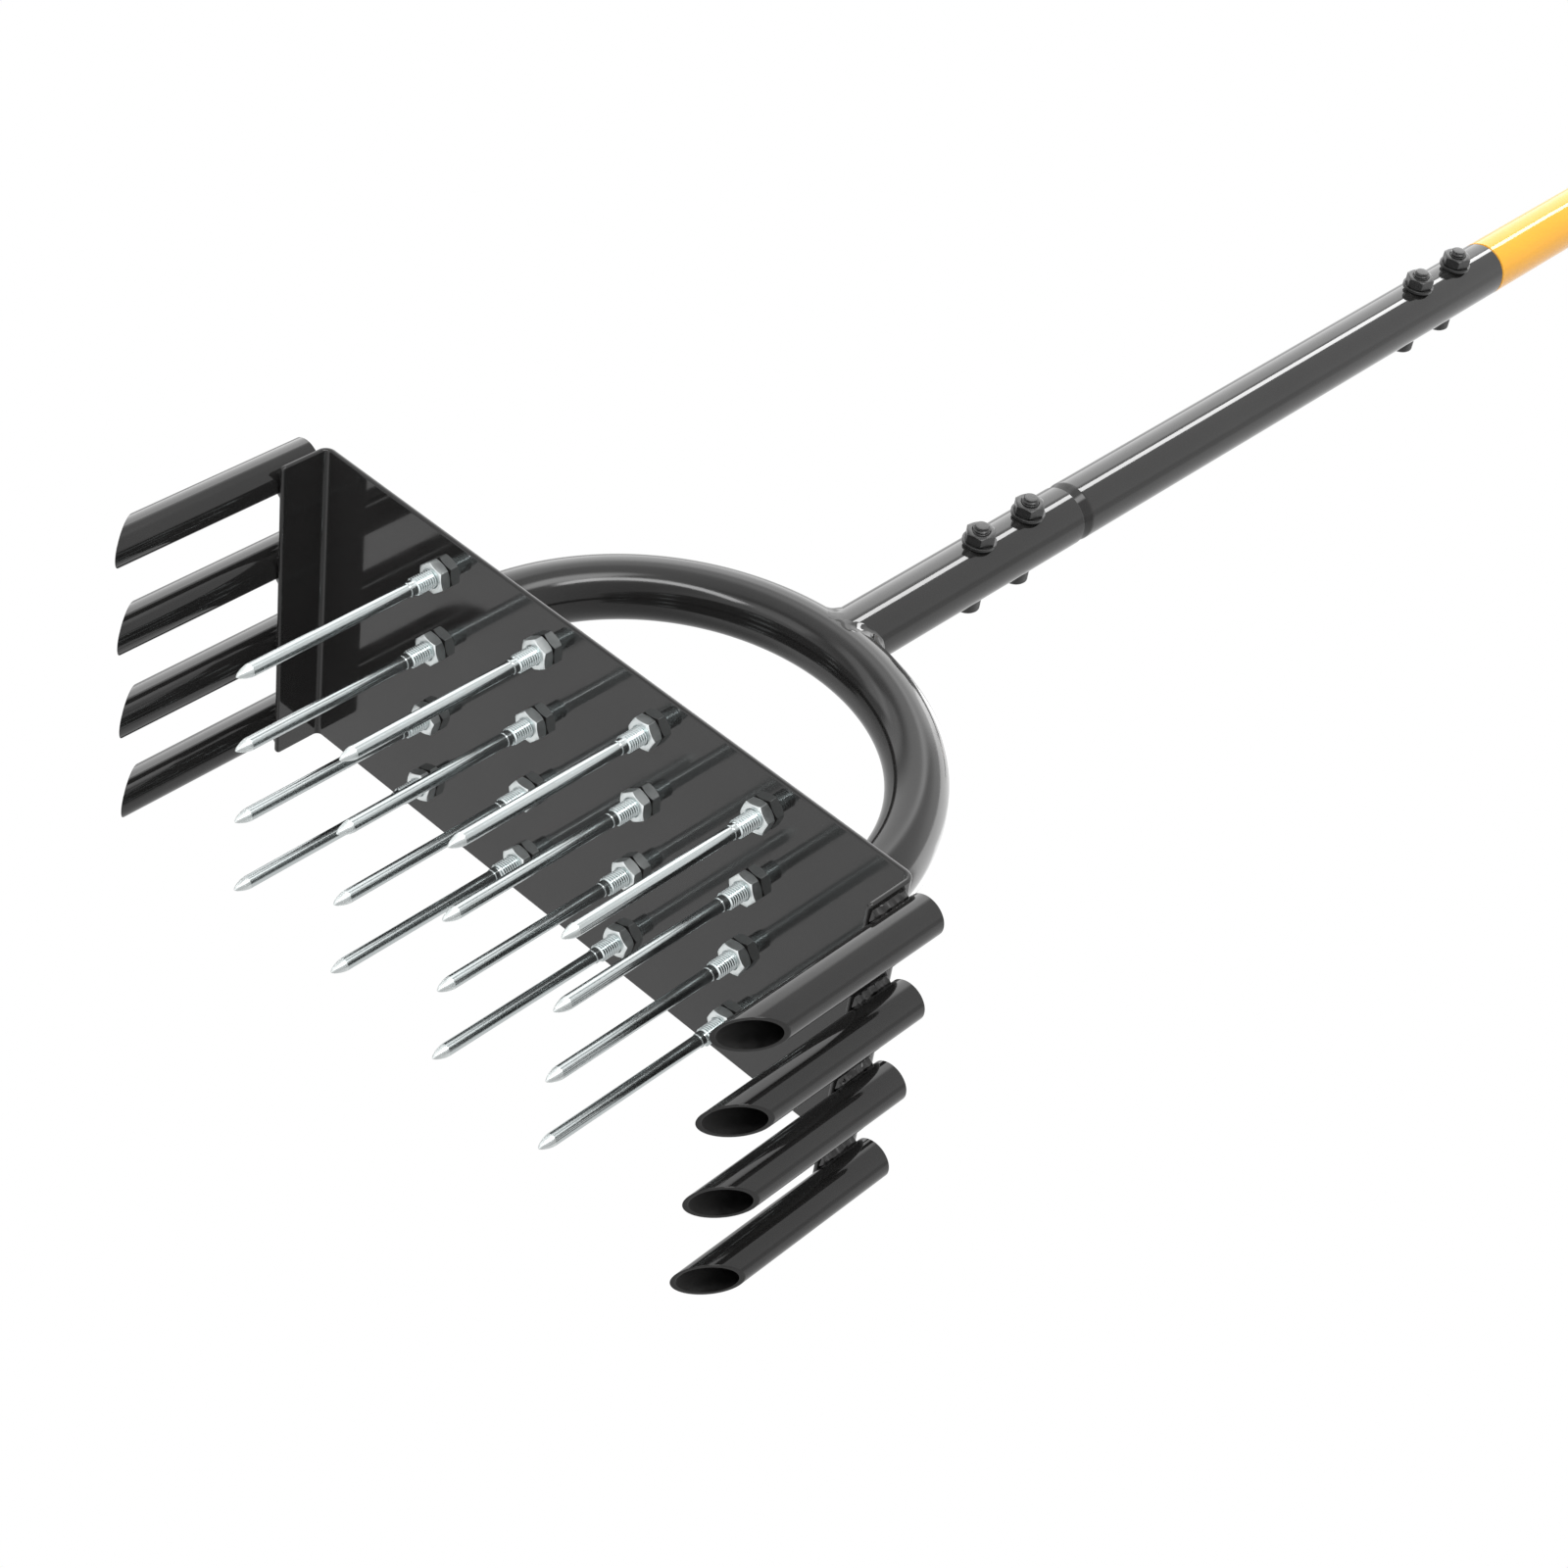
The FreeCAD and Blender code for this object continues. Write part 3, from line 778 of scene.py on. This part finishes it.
class AERATOR_OT_spike_nuts(bpy.types.Operator):
    """Builds the two hex nuts of every spike, each turned its own way"""
    bl_idname = "aerator.spike_nuts"
    bl_label = "Spike Nuts"

    def execute(self, context):
        for word, turns, shift in (("front", FRONT_NUT_TURNS, 0), ("back", FRONT_NUT_TURNS[::-1], 11)):
            low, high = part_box("spike_nuts_" + word)
            shape = Shape()
            for node, turn in zip(SPIKE_NODES, turns):
                centre = middle(node)
                turned = Matrix.Rotation(math.radians(turn + shift), 4, "Z")
                hex_nut(shape, sizes(), high.z - low.z, Matrix.Translation((centre.x, centre.y, low.z)) @ turned)
            piece("spike_hex_nuts_" + word, shape, "turned_zinc_plating", "spike_nuts_" + word,
                  sharp=33)
        return {"FINISHED"}


# The yoke and the handle


def yoke_sizes():
    """Radius of the yoke's tube, radius of its bend, and height of the bend's centre."""
    low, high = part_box("yoke")
    tube = (high.y - low.y) / 2
    bend = high.x - tube
    return tube, bend, high.z - tube - bend


def yoke_shape(size):
    """The arched tube, with its outer and inner skin."""
    tube, bend, centre = yoke_sizes()
    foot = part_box("yoke")[0].z
    leg = [(Vector((bend, 0, foot + (centre - foot) * s)), Vector((1, 0, 0))) for s in (0, 0.03, 0.5, 1)]
    path = list(leg)
    steps = 120
    for k in range(1, steps):
        across, up, _ = polar(1, math.pi * k / steps, 0)
        outward = Vector((across, 0, up))
        path.append((Vector((0, 0, centre)) + outward * bend, outward))
    path += mirrored(leg)
    sides = 72
    shape = Shape()
    for reach, turn in ((tube, 2 * math.pi), (tube - size.yoke_wall, -2 * math.pi)):
        rings = []
        for place, outward in path:
            ring = []
            for k in range(sides):
                across, along, _ = polar(reach, turn * k / sides, 0)
                ring.append(place + outward * across + Vector((0, along, 0)))
            rings.append(ring)
        shape.rings(rings, lids=False)
    return shape


def yoke_foot_beads(size):
    """A rippled bead round each foot of the yoke, cut flat where it stands on the plate."""
    tube, bend, _ = yoke_sizes()
    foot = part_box("yoke")[0].z
    leg = span("yoke_welds").z - 0.3 * MM
    count = 230
    beads = Shape()
    for side, _ in SIDES:
        stations = []
        for k in range(count):
            spoke = Vector(polar(1, 2 * math.pi * k / count, 0))
            seam = Vector((side * bend, 0, foot)) + spoke * tube
            stations.append((seam, seam + spoke * leg, seam + Vector((0, 0, leg)),
                             (spoke + Vector((0, 0, 1))).normalized()))
        fillet(beads, stations, 0.25, 0.3 * MM, size.weld_ripple * 1.3, closed=True, seed=side * 5.0)
    beads.points = [(x, y, max(z, foot)) for x, y, z in beads.points]
    return beads


class AERATOR_OT_yoke(bpy.types.Operator):
    """Builds the arched yoke tube and the beads round its feet"""
    bl_idname = "aerator.yoke"
    bl_label = "Yoke"

    def execute(self, context):
        piece("yoke_tube", yoke_shape(sizes()), "stretched_black_paint", "yoke", sharp=40)
        piece("yoke_weld_beads", yoke_foot_beads(sizes()), "painted_weld_metal", "yoke_welds", sharp=60)
        return {"FINISHED"}


HANDLE_SIDES = 96


def saddle(yoke, angle, reach):
    """The point at which a wall of the handle meets the yoke's outer surface."""
    tube, bend, centre = yoke
    x, y, _ = polar(reach, angle, 0)
    ring = bend + math.sqrt(max(0.0, tube ** 2 - y ** 2))
    return Vector((x, y, centre + math.sqrt(ring ** 2 - x ** 2)))


def socket_shape(size):
    """The short tube whose foot is coped to the yoke."""
    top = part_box("handle_socket")[1].z
    radius = span("lower_tube").x / 2
    bore = radius - size.tube_wall
    rim = size.tube_rim
    yoke = yoke_sizes()
    points = []
    for k in range(HANDLE_SIDES):
        angle = 2 * math.pi * k / HANDLE_SIDES
        foot = saddle(yoke, angle, radius).z
        profile = [(radius, foot), (radius, foot + 4 * MM), (radius, top - rim), (radius - rim * 0.3, top - rim * 0.3),
                   (radius - rim, top), (bore + rim, top), (bore, top - rim), (bore, top - 30 * MM)]
        points += [polar(reach, angle, z) for reach, z in profile]
    count = len(profile)
    faces = []
    for i in range(HANDLE_SIDES):
        a, b = i * count, ((i + 1) % HANDLE_SIDES) * count
        faces += [(a + j, b + j, b + j + 1, a + j + 1) for j in range(count - 1)]
    return Shape().add(points, faces)


def socket_weld_shape(size):
    """A smooth hollow weld between the socket's foot and the yoke's crown."""
    yoke = yoke_sizes()
    tube, bend, centre = yoke
    radius = span("lower_tube").x / 2
    hub = Vector((0, 0, centre))
    turns = 260
    leg = size.socket_weld_leg

    def bend_line(point):
        """The point of the yoke's middle line that lies nearest."""
        return hub + (Vector((point.x, 0, point.z)) - hub).normalized() * bend

    seams = [saddle(yoke, 2 * math.pi * k / turns, radius) for k in range(turns)]
    stations = []
    for k, seam in enumerate(seams):
        along = (seams[(k + 1) % turns] - seams[k - 1]).normalized()
        wall = Vector((seam.x, seam.y, 0)).normalized()
        skin = (seam - bend_line(seam)).normalized()
        up, away = wall.cross(along), skin.cross(along)
        up = up if up.z > 0 else -up
        away = away if away.dot(wall) - 0.5 * away.z > 0 else -away
        first = seam + up * leg
        first = Vector((first.x, first.y, 0)).normalized() * radius + Vector((0, 0, first.z))
        last = seam + away * leg * 0.9
        ring = bend_line(last)
        last = ring + (last - ring).normalized() * tube
        last.z = max(last.z, centre + bend + 0.3 * MM)
        stations.append((seam, first, last, (wall + skin).normalized()))
    return fillet(Shape(), stations, 0.8, 0.25 * MM, size.weld_ripple * 1.5, closed=True,
                  relief=0.05 * MM, seed=9.0, steps=14)


def tube_shape(node, below, shoulder, size):
    """A handle tube with its drawn-in foot, which stands in the tube below."""
    low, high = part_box(node)
    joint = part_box(below)[1].z
    radius = span("lower_tube").x / 2
    bore = radius - size.tube_wall
    foot = bore - size.tube_play
    inner = foot - size.tube_wall
    ease = min(1.5 * MM, shoulder * 0.3)
    rim = size.tube_rim
    outline = [(inner, low.z), (foot, low.z), (foot, joint + 0.25 * MM)]
    for out, up in ((0.12, 0.2), (0.5, 0.55), (0.88, 0.85)):
        outline.append((foot + (radius - foot) * out, joint + shoulder * up))
    outline += [(radius - 0.02 * MM, joint + shoulder), (radius, joint + shoulder + ease), (radius, high.z - rim),
                (radius - rim * 0.3, high.z - rim * 0.3), (radius - rim, high.z), (bore + rim, high.z),
                (bore, high.z - rim), (bore, joint + shoulder + 2 * MM), (inner, joint + 2 * MM)]
    return Shape().lathe(outline, steps=HANDLE_SIDES, loop=True)


class AERATOR_OT_handle_tubes(bpy.types.Operator):
    """Builds the coped socket, its weld, and the black and yellow handle tubes"""
    bl_idname = "aerator.handle_tubes"
    bl_label = "Handle Tubes"

    def execute(self, context):
        size = sizes()
        piece("socket_tube", socket_shape(size), "heat_waved_black_paint", "handle_socket", sharp=36)
        piece("socket_weld_bead", socket_weld_shape(size), "painted_weld_metal", "socket_weld", sharp=60)
        for node, below, shoulder, paint in (("lower_tube", "handle_socket", size.lower_shoulder, "black_paint"),
                                             ("upper_tube", "lower_tube", size.upper_shoulder, "yellow_paint")):
            shape = tube_shape(node, below, shoulder, size)
            piece(node + "_wall", shape, "gloss_" + paint, node, sharp=36)
        return {"FINISHED"}


def across(level, seat, spin=0.0):
    """Places a piece that was made along Z so that it points along Y at a joint."""
    lie = Matrix.Rotation(math.radians(-90), 4, "X") @ Matrix.Rotation(spin, 4, "Z")
    return Matrix.Translation((0, seat, level)) @ lie


def socket_head(shape, head, rise, size, matrix):
    """A round knurled bolt head that stands on zero, with a hexagon socket in its top."""
    steps = 120

    def ring(radius, height, hexagon=False, knurl=0.0):
        points = []
        for k in range(steps):
            angle = 2 * math.pi * k / steps
            reach = radius - knurl * (k % 2)
            if hexagon:
                reach = radius / math.cos(angle % (math.pi / 3) - math.pi / 6)
            points.append(polar(reach, angle, height))
        return points

    key = size.key_flats / 2
    knurl = size.knurl
    floor = rise - size.key_depth
    rings = [ring(size.thread / 2, 0), ring(head - 0.3 * MM, 0), ring(head - 0.05 * MM, 0.25 * MM),
             ring(head, 0.5 * MM, knurl=knurl), ring(head, rise - 1.2 * MM, knurl=knurl),
             ring(head - 0.1 * MM, rise - 1.0 * MM), ring(head - 0.9 * MM, rise - 0.12 * MM),
             ring(head - 1.15 * MM, rise), ring(key * 1.19, rise), ring(key + 0.12 * MM, rise - 0.3 * MM, hexagon=True),
             ring(key, rise - 0.5 * MM, hexagon=True), ring(key, floor, hexagon=True), ring(0.1 * MM, floor - 0.3 * MM)]
    return shape.rings(rings, matrix)


# Turn of the bolts at each joint, then of its lower and its upper nut
JOINT_TURNS = {"socket": (0.35, 0.85, 0.78), "tube": (0.15, 0.80, 0.83)}


class AERATOR_OT_joint_fasteners(bpy.types.Operator):
    """Builds the through bolts, washers and nuts of the two handle joints"""
    bl_idname = "aerator.joint_fasteners"
    bl_label = "Joint Fasteners"

    def execute(self, context):
        size = sizes()
        crest = size.thread / 2
        root = crest - size.thread_depth
        for word, (spin, *nut_turns) in JOINT_TURNS.items():
            bolt_low, bolt_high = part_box(word + "_joint_bolts")
            washer_low, washer_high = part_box(word + "_joint_washers")
            nut_low, nut_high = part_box(word + "_joint_nuts")
            head = (bolt_high.x - bolt_low.x) / 2
            seat = -washer_high.y
            end = bolt_low.y
            thick = washer_high.y - washer_low.y
            wide = (washer_high.x - washer_low.x) / 2
            hole = crest + 0.3 * MM
            disc = rounded([(hole, 0), (wide, 0), (wide, thick), (hole, thick)], 0.3 * MM, steps=3)
            shank = [(0.6 * MM, end), (root - 0.7 * MM, end + 0.03 * MM), (root - 0.2 * MM, end + 0.15 * MM),
                     (root, end + 0.45 * MM), (root, -seat), (crest, 0), (crest, seat)]
            bolts, washers, nuts = Shape(), Shape(), Shape()
            for index, level in enumerate((bolt_low.z + head, bolt_high.z - head)):
                turn = index * 1.7 + spin
                place = across(level, 0.0, turn)
                socket_head(bolts, head, bolt_high.y - seat, size, across(level, seat, turn))
                bolts.lathe(shank, steps=36, matrix=place)
                helix(bolts, size, end - 0.1 * MM, nut_low.y + 2.5 * MM, place, fade_low=0.5)
                washers.lathe(disc, matrix=across(level, washer_low.y), loop=True)
                hex_nut(nuts, size, nut_high.y - nut_low.y, across(level, nut_low.y, nut_turns[index]))
            for kind, shape, sharp in (("bolt", bolts, 38), ("washer", washers, 38), ("nut", nuts, 33)):
                name = "%s_joint_%s" % (word, kind)
                piece(name + "_set", shape, "black_fastener_finish", name + "s", sharp=sharp)
        return {"FINISHED"}


def bar_weld_beads(size):
    """A bead round the cross bar on each side of the handle, which follows the handle's curve."""
    bar = span("cross_bar").z / 2
    post = span("upper_tube").x / 2
    lift = Vector((0, 0, middle("cross_bar").z))
    leg = size.bar_weld_leg
    count = 160
    beads = Shape()
    for side, _ in SIDES:
        stations = []
        for k in range(count):
            along, up, _ = polar(1, 2 * math.pi * k / count, 0)
            spoke = Vector((0, along, up))
            seam, foot = spoke * bar, spoke * (bar + leg)
            seam.x = side * math.sqrt(post ** 2 - seam.y ** 2)
            foot.x = side * math.sqrt(post ** 2 - foot.y ** 2)
            stations.append((seam + lift, foot + lift, seam + lift + Vector((side * leg, 0, 0)),
                             (spoke + Vector((side, 0, 0))).normalized()))
        fillet(beads, stations, 0.3, 0.2 * MM, size.weld_ripple, closed=True, seed=side * 2.0)
    return beads


def cap_outline(size):
    """The domed cap with its plug, as (radius, height) points."""
    low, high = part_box("handle_cap")
    wide = (high.x - low.x) / 2
    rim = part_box("upper_tube")[1].z
    plug = wide - size.tube_wall - size.tube_play
    outline = [(plug - 2 * MM, rim), (plug - 2 * MM, low.z), (plug - 0.5 * MM, low.z), (plug, low.z + 1 * MM),
               (plug, rim), (wide - 0.2 * MM, rim), (wide, rim + 0.3 * MM), (wide, rim + 1.4 * MM),
               (wide - 0.5 * MM, rim + 2.2 * MM)]
    for a in (70, 60, 50, 40, 30, 20, 10, 3):
        rise, out = arc(a)
        outline.append((wide * out, rim + (high.z - rim) * (0.42 + 0.58 * rise)))
    return outline


class AERATOR_OT_cross_bar(bpy.types.Operator):
    """Builds the cross bar, its welds and the cap on the handle's top"""
    bl_idname = "aerator.cross_bar"
    bl_label = "Cross Bar"

    def execute(self, context):
        size = sizes()
        low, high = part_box("cross_bar")
        outer = (high.z - low.z) / 2
        inner = outer - size.bar_wall
        lie = Matrix.Translation((0, 0, middle("cross_bar").z)) @ Matrix.Rotation(math.radians(90), 4, "Y")
        ring = rounded([(inner, low.x), (outer, low.x), (outer, high.x), (inner, high.x)], 0.4 * MM)
        piece("cross_bar_tube", Shape().lathe(ring, steps=72, matrix=lie, loop=True), "gloss_yellow_paint",
              "cross_bar", sharp=36)
        piece("cross_bar_weld_beads", bar_weld_beads(size), "painted_yellow_weld", "cross_bar_welds",
              sharp=60)
        piece("handle_top_cap", Shape().lathe(cap_outline(size), steps=72), "moulded_cap_plastic",
              "handle_cap", sharp=40)
        return {"FINISHED"}


# A rib's profile: share of its width, and share of its height
RIB = ((-0.18, 0.0), (0.0, 0.12), (0.14, 0.55), (0.3, 0.95), (0.5, 1.0), (0.7, 0.95), (0.86, 0.55), (1.0, 0.12),
       (1.18, 0.0))


def grip_outline(node, size):
    """A grip from its open collar end to its closed end, as (radius, height) points."""
    box = span(node)
    long = box.x
    collar = box.z / 2
    skin = collar - size.grip_skin
    bore = skin - size.grip_wall
    curve = size.grip_round
    outline = [(bore, 0.3 * MM), (bore + 0.5 * MM, 0), (collar - 1.2 * MM, 0), (collar - 0.3 * MM, 0.4 * MM),
               (collar, 1.2 * MM), (collar, 2.6 * MM), (collar - 0.4 * MM, 3.5 * MM), (skin + 1.0 * MM, 4.1 * MM),
               (skin + 0.3 * MM, 4.7 * MM), (skin, 6 * MM)]
    for i in range(size.grip_ribs):
        start = size.grip_rib_start + i * size.grip_rib_pitch
        outline += [(skin + size.grip_rib_height * rise, start + size.grip_rib_width * share) for share, rise in RIB]
    outline.append((skin, long - 5.4 * MM))
    for a in (10, 25, 40, 55, 70, 82, 90):
        out, up = arc(a)
        outline.append((skin - curve + curve * out, long - curve + curve * up))
    return outline + [(6.2 * MM, long), (5.4 * MM, long - 0.5 * MM), (4.4 * MM, long - 0.6 * MM),
                      (0.2 * MM, long - 0.6 * MM)]


class AERATOR_OT_hand_grips(bpy.types.Operator):
    """Builds the two ribbed rubber grips"""
    bl_idname = "aerator.hand_grips"
    bl_label = "Hand Grips"

    def execute(self, context):
        for side, word in SIDES:
            node = "hand_grip_" + word
            low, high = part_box(node)
            start = Matrix.Translation((low.x if side > 0 else high.x, 0, middle(node).z))
            lie = start @ Matrix.Rotation(math.radians(90 * side), 4, "Y")
            shape = Shape().lathe(grip_outline(node, sizes()), steps=72, matrix=lie)
            piece("ribbed_grip_" + word, shape, "ribbed_grip_rubber", node, sharp=50)
        return {"FINISHED"}


# The studio

# Brightness of the bare surround from straight below (0) to straight above (1)
SURROUND_STOPS = ((0.0, 1.5), (1.0, 1.35), (0.075, 1.2), (0.15, 0.82), (0.2, 0.65), (0.26, 0.55), (0.4, 0.6),
                  (0.5, 0.7), (0.75, 0.95), (0.83, 1.15), (0.9, 1.3))

# Soft windows of the studio: name, compass angle from +X, height angle, half width, half height and
# soft border in degrees, and added brightness
WINDOWS = (
    ("left_window", -150, 28, 33, 8, 14, 1.0),
    ("left_high_window", -153, 57, 30, 15, 10, 1.7),
    ("overhead_window", 75, 74, 180, 11, 12, 0.6),
    ("front_window", -73, 12, 4.5, 8, 9, 4.0),
    ("front_glow", -98, 4, 22, 18, 12, 0.4),
    ("low_front_glow", -106, -42, 12, 5, 9, 1.0),
    ("low_corner_glow", -142, -18, 13, 4, 9, 1.1),
    ("corner_glow", -160, -5, 16, 4, 9, 0.9),
    ("low_left_glow", 133, -32, 10, 10, 26, 0.35),
    ("dark_flag", 4, 33, 6, 14, 11, -0.3),
)

# Strip lamps: name, start, end and aim of the strip, its width and brightness, and the pieces that it
# lights, where none named means every piece of the tool
LAMPS = (
    ("slanted_strip", (0.05, -1.2, -0.85), (0.72, -1.4, 0.5), (-0.07, 0.0, 0.3), 0.23, 6.6, ()),
    ("tall_strip", (-0.205, -1.485, 1.45), (-0.455, -1.43, 3.2), (0.0, 0.0, 0.6), 0.38, 10.0,
     ("socket_tube", "lower_tube_wall", "upper_tube_wall", "socket_weld_bead")),
    ("left_softbox", (-1.731, -0.078, 0.777), (-0.903, -1.352, 0.777), (-0.217, 0.0, 0.05), 0.5, 1.6,
     ("tine_left_1_tube", "tine_left_2_tube", "tine_left_3_tube", "tine_left_4_tube")),
    ("yoke_softbox", (0.1, 0.45, 2.0), (0.1, 1.9, 2.0), (0.1, 0.0, 0.3), 1.3, 3.6, ("yoke_tube",)),
    ("yoke_overhead", (0.45, -0.5, 2.0), (0.45, 1.9, 2.0), (0.45, 0.0, 0.3), 1.8, 2.0, ("yoke_tube",)),
)


def window(build, compass, height, half_width, half_height, border, brightness):
    """Light of one soft window, for a direction of the surround."""
    inputs = {"Vector": build.coordinates.outputs["Generated"], "Angle": math.radians(-compass)}
    turned = build.node("ShaderNodeVectorRotate", inputs, rotation_type="Z_AXIS")
    x, y, z = build.node("ShaderNodeSeparateXYZ", {0: turned.outputs[0]}).outputs
    aside = build.math("ABSOLUTE", build.math("ARCTAN2", y, x))
    rise = build.math("ABSOLUTE", build.math("SUBTRACT", build.math("ARCSINE", z), math.radians(height)))
    falls = []
    for value, half in ((aside, half_width), (rise, half_height)):
        start = math.radians(half)
        falls.append(build.spread(value, 1.0, 0.0, start, start + math.radians(border),
                                  interpolation_type="SMOOTHSTEP"))
    return build.math("MULTIPLY", build.math("MULTIPLY", *falls), brightness)


def build_world(settings):
    """White for the camera, and a soft studio with windows for reflections and for light."""
    world = bpy.data.worlds.new("studio_surround")
    bpy.context.scene.world = world
    world.use_nodes = True
    world.node_tree.nodes.clear()
    build = Wiring(world.node_tree)
    height = build.node("ShaderNodeSeparateXYZ", {0: build.coordinates.outputs["Generated"]}).outputs[2]
    ramp = build.node("ShaderNodeValToRGB", {0: build.math("MULTIPLY", build.math("ADD", height, 1.0), 0.5)})
    for i, (place, level) in enumerate(SURROUND_STOPS):
        stops = ramp.color_ramp.elements
        stop = stops[i] if i < 2 else stops.new(place)
        stop.position = place
        stop.color = (level, level, level, 1)
    light = ramp.outputs[0]
    for _, *numbers in WINDOWS:
        light = build.math("ADD", light, window(build, *numbers))
    light = build.math("MAXIMUM", light, 0.0)
    path = build.node("ShaderNodeLightPath").outputs
    sharp = build.math("MAXIMUM", path["Is Glossy Ray"], path["Is Transmission Ray"])
    soft = build.math("SUBTRACT", 1.0, sharp)
    level = build.math("ADD", build.math("MULTIPLY", sharp, settings.surround),
                       build.math("MULTIPLY", soft, settings.fill))
    studio = build.node("ShaderNodeBackground", {"Strength": build.math("MULTIPLY", light, level)})
    white = build.node("ShaderNodeBackground", {"Color": (1, 1, 1, 1)})
    choose = build.node("ShaderNodeMixShader", {0: path["Is Camera Ray"], 1: studio.outputs[0], 2: white.outputs[0]})
    build.node("ShaderNodeOutputWorld", {"Surface": choose.outputs[0]})


def build_floor():
    """A pale floor that is clear from below, where the camera looks up at the tool."""
    mesh = bpy.data.meshes.new("studio_floor")
    steps = 96
    reach = 9.0
    mesh.from_pydata([polar(reach, 2 * math.pi * i / steps, 0.0) for i in range(steps)], [], [tuple(range(steps))])
    mesh.update()
    floor = bpy.data.objects.new("studio_floor", mesh)
    bpy.context.scene.collection.objects.link(floor)
    floor.visible_glossy = False
    floor.visible_shadow = False
    made = Finish("plain_pale_floor")
    pale = tuple(colours().floor)
    mesh.materials.append(made.done({
        "Base Color": made.blend(made.spread(made.noise(3, 3), 0, 1), shade(pale, 0.985), pale),
        "Roughness": 0.85,
        "Specular IOR Level": 0.1,
    }))
    below = made.node("ShaderNodeNewGeometry").outputs["Backfacing"]
    clear = made.node("ShaderNodeBsdfTransparent").outputs[0]
    choose = made.node("ShaderNodeMixShader", {0: below, 1: made.shader.outputs[0], 2: clear})
    made.put(made.tree.nodes["Material Output"].inputs["Surface"], choose.outputs[0])


def strip_lamp(name, start, end, aim, width, brightness, lit):
    """A long flat lamp that faces the aim with the given brightness and lights the named pieces alone."""
    start, end, aim = Vector(start), Vector(end), Vector(aim)
    centre = (start + end) / 2
    long = (end - start).normalized()
    back = centre - aim
    back = (back - long * back.dot(long)).normalized()
    data = bpy.data.lights.new(name, "AREA")
    data.shape = "RECTANGLE"
    data.size = width
    data.size_y = (end - start).length
    data.energy = brightness * math.pi * width * data.size_y
    made = bpy.data.objects.new(name, data)
    bpy.context.scene.collection.objects.link(made)
    made.visible_camera = False
    made.matrix_world = Matrix.Translation(centre) @ Matrix((long.cross(back), long, back)).transposed().to_4x4()
    group = bpy.data.collections.new(name + "_pieces")
    for lit_name in lit:
        group.objects.link(bpy.data.objects[lit_name])
    made.light_linking.receiver_collection = group


def build_camera(settings):
    data = bpy.data.cameras.new("studio_camera")
    data.lens = settings.lens
    data.sensor_width = 36.0
    data.clip_start = 0.02
    data.clip_end = 60.0
    camera = bpy.data.objects.new("studio_camera", data)
    bpy.context.scene.collection.objects.link(camera)
    right = Vector(settings.camera_right).normalized()
    down = Vector(settings.camera_down)
    down = (down - right * down.dot(right)).normalized()
    turn = Matrix((right, -down, -right.cross(down))).transposed().to_4x4()
    camera.matrix_world = Matrix.Translation(settings.camera_place) @ turn
    bpy.context.scene.camera = camera


class AERATOR_OT_studio(bpy.types.Operator):
    """Sets up the camera, floor, surround and soft lamps"""
    bl_idname = "aerator.studio"
    bl_label = "Studio"

    def execute(self, context):
        settings = context.scene.aerator_studio
        tool = [made.name for made in context.scene.objects if made.type == "MESH"]
        build_camera(settings)
        build_world(settings)
        build_floor()
        for *numbers, lit in LAMPS:
            strip_lamp(*numbers, lit or tool)
        context.scene.view_settings.view_transform = "Standard"
        return {"FINISHED"}


# The lamps need the pieces that they light, so the studio comes last
OPERATORS = (
    AERATOR_OT_head_plate,
    AERATOR_OT_tines,
    AERATOR_OT_tine_welds,
    AERATOR_OT_spikes,
    AERATOR_OT_spike_nuts,
    AERATOR_OT_yoke,
    AERATOR_OT_handle_tubes,
    AERATOR_OT_joint_fasteners,
    AERATOR_OT_cross_bar,
    AERATOR_OT_hand_grips,
    AERATOR_OT_studio,
)
GROUPS = {"aerator_sizes": AeratorSizes, "aerator_colours": AeratorColours, "aerator_studio": StudioSettings}


class VIEW3D_PT_aerator(bpy.types.Panel):
    """Lists the builders and settings of the lawn aerator"""
    bl_idname = "VIEW3D_PT_aerator"
    bl_label = "Lawn Aerator"
    bl_space_type = "VIEW_3D"
    bl_region_type = "UI"
    bl_category = "Aerator"

    def draw(self, context):
        for operator in OPERATORS:
            self.layout.operator(operator.bl_idname)
        for word in GROUPS:
            group = getattr(context.scene, word)
            box = self.layout.box()
            for name in group.__annotations__:
                box.prop(group, name)


CLASSES = tuple(GROUPS.values()) + OPERATORS + (VIEW3D_PT_aerator,)


def register():
    for cls in CLASSES:
        bpy.utils.register_class(cls)
    for word, group in GROUPS.items():
        setattr(bpy.types.Scene, word, bpy.props.PointerProperty(type=group))


def unregister():
    for word in GROUPS:
        delattr(bpy.types.Scene, word)
    for cls in reversed(CLASSES):
        bpy.utils.unregister_class(cls)


def main():
    register()
    for operator in OPERATORS:
        group, name = operator.bl_idname.split(".")
        getattr(getattr(bpy.ops, group), name)()


if __name__ == "__main__":
    main()
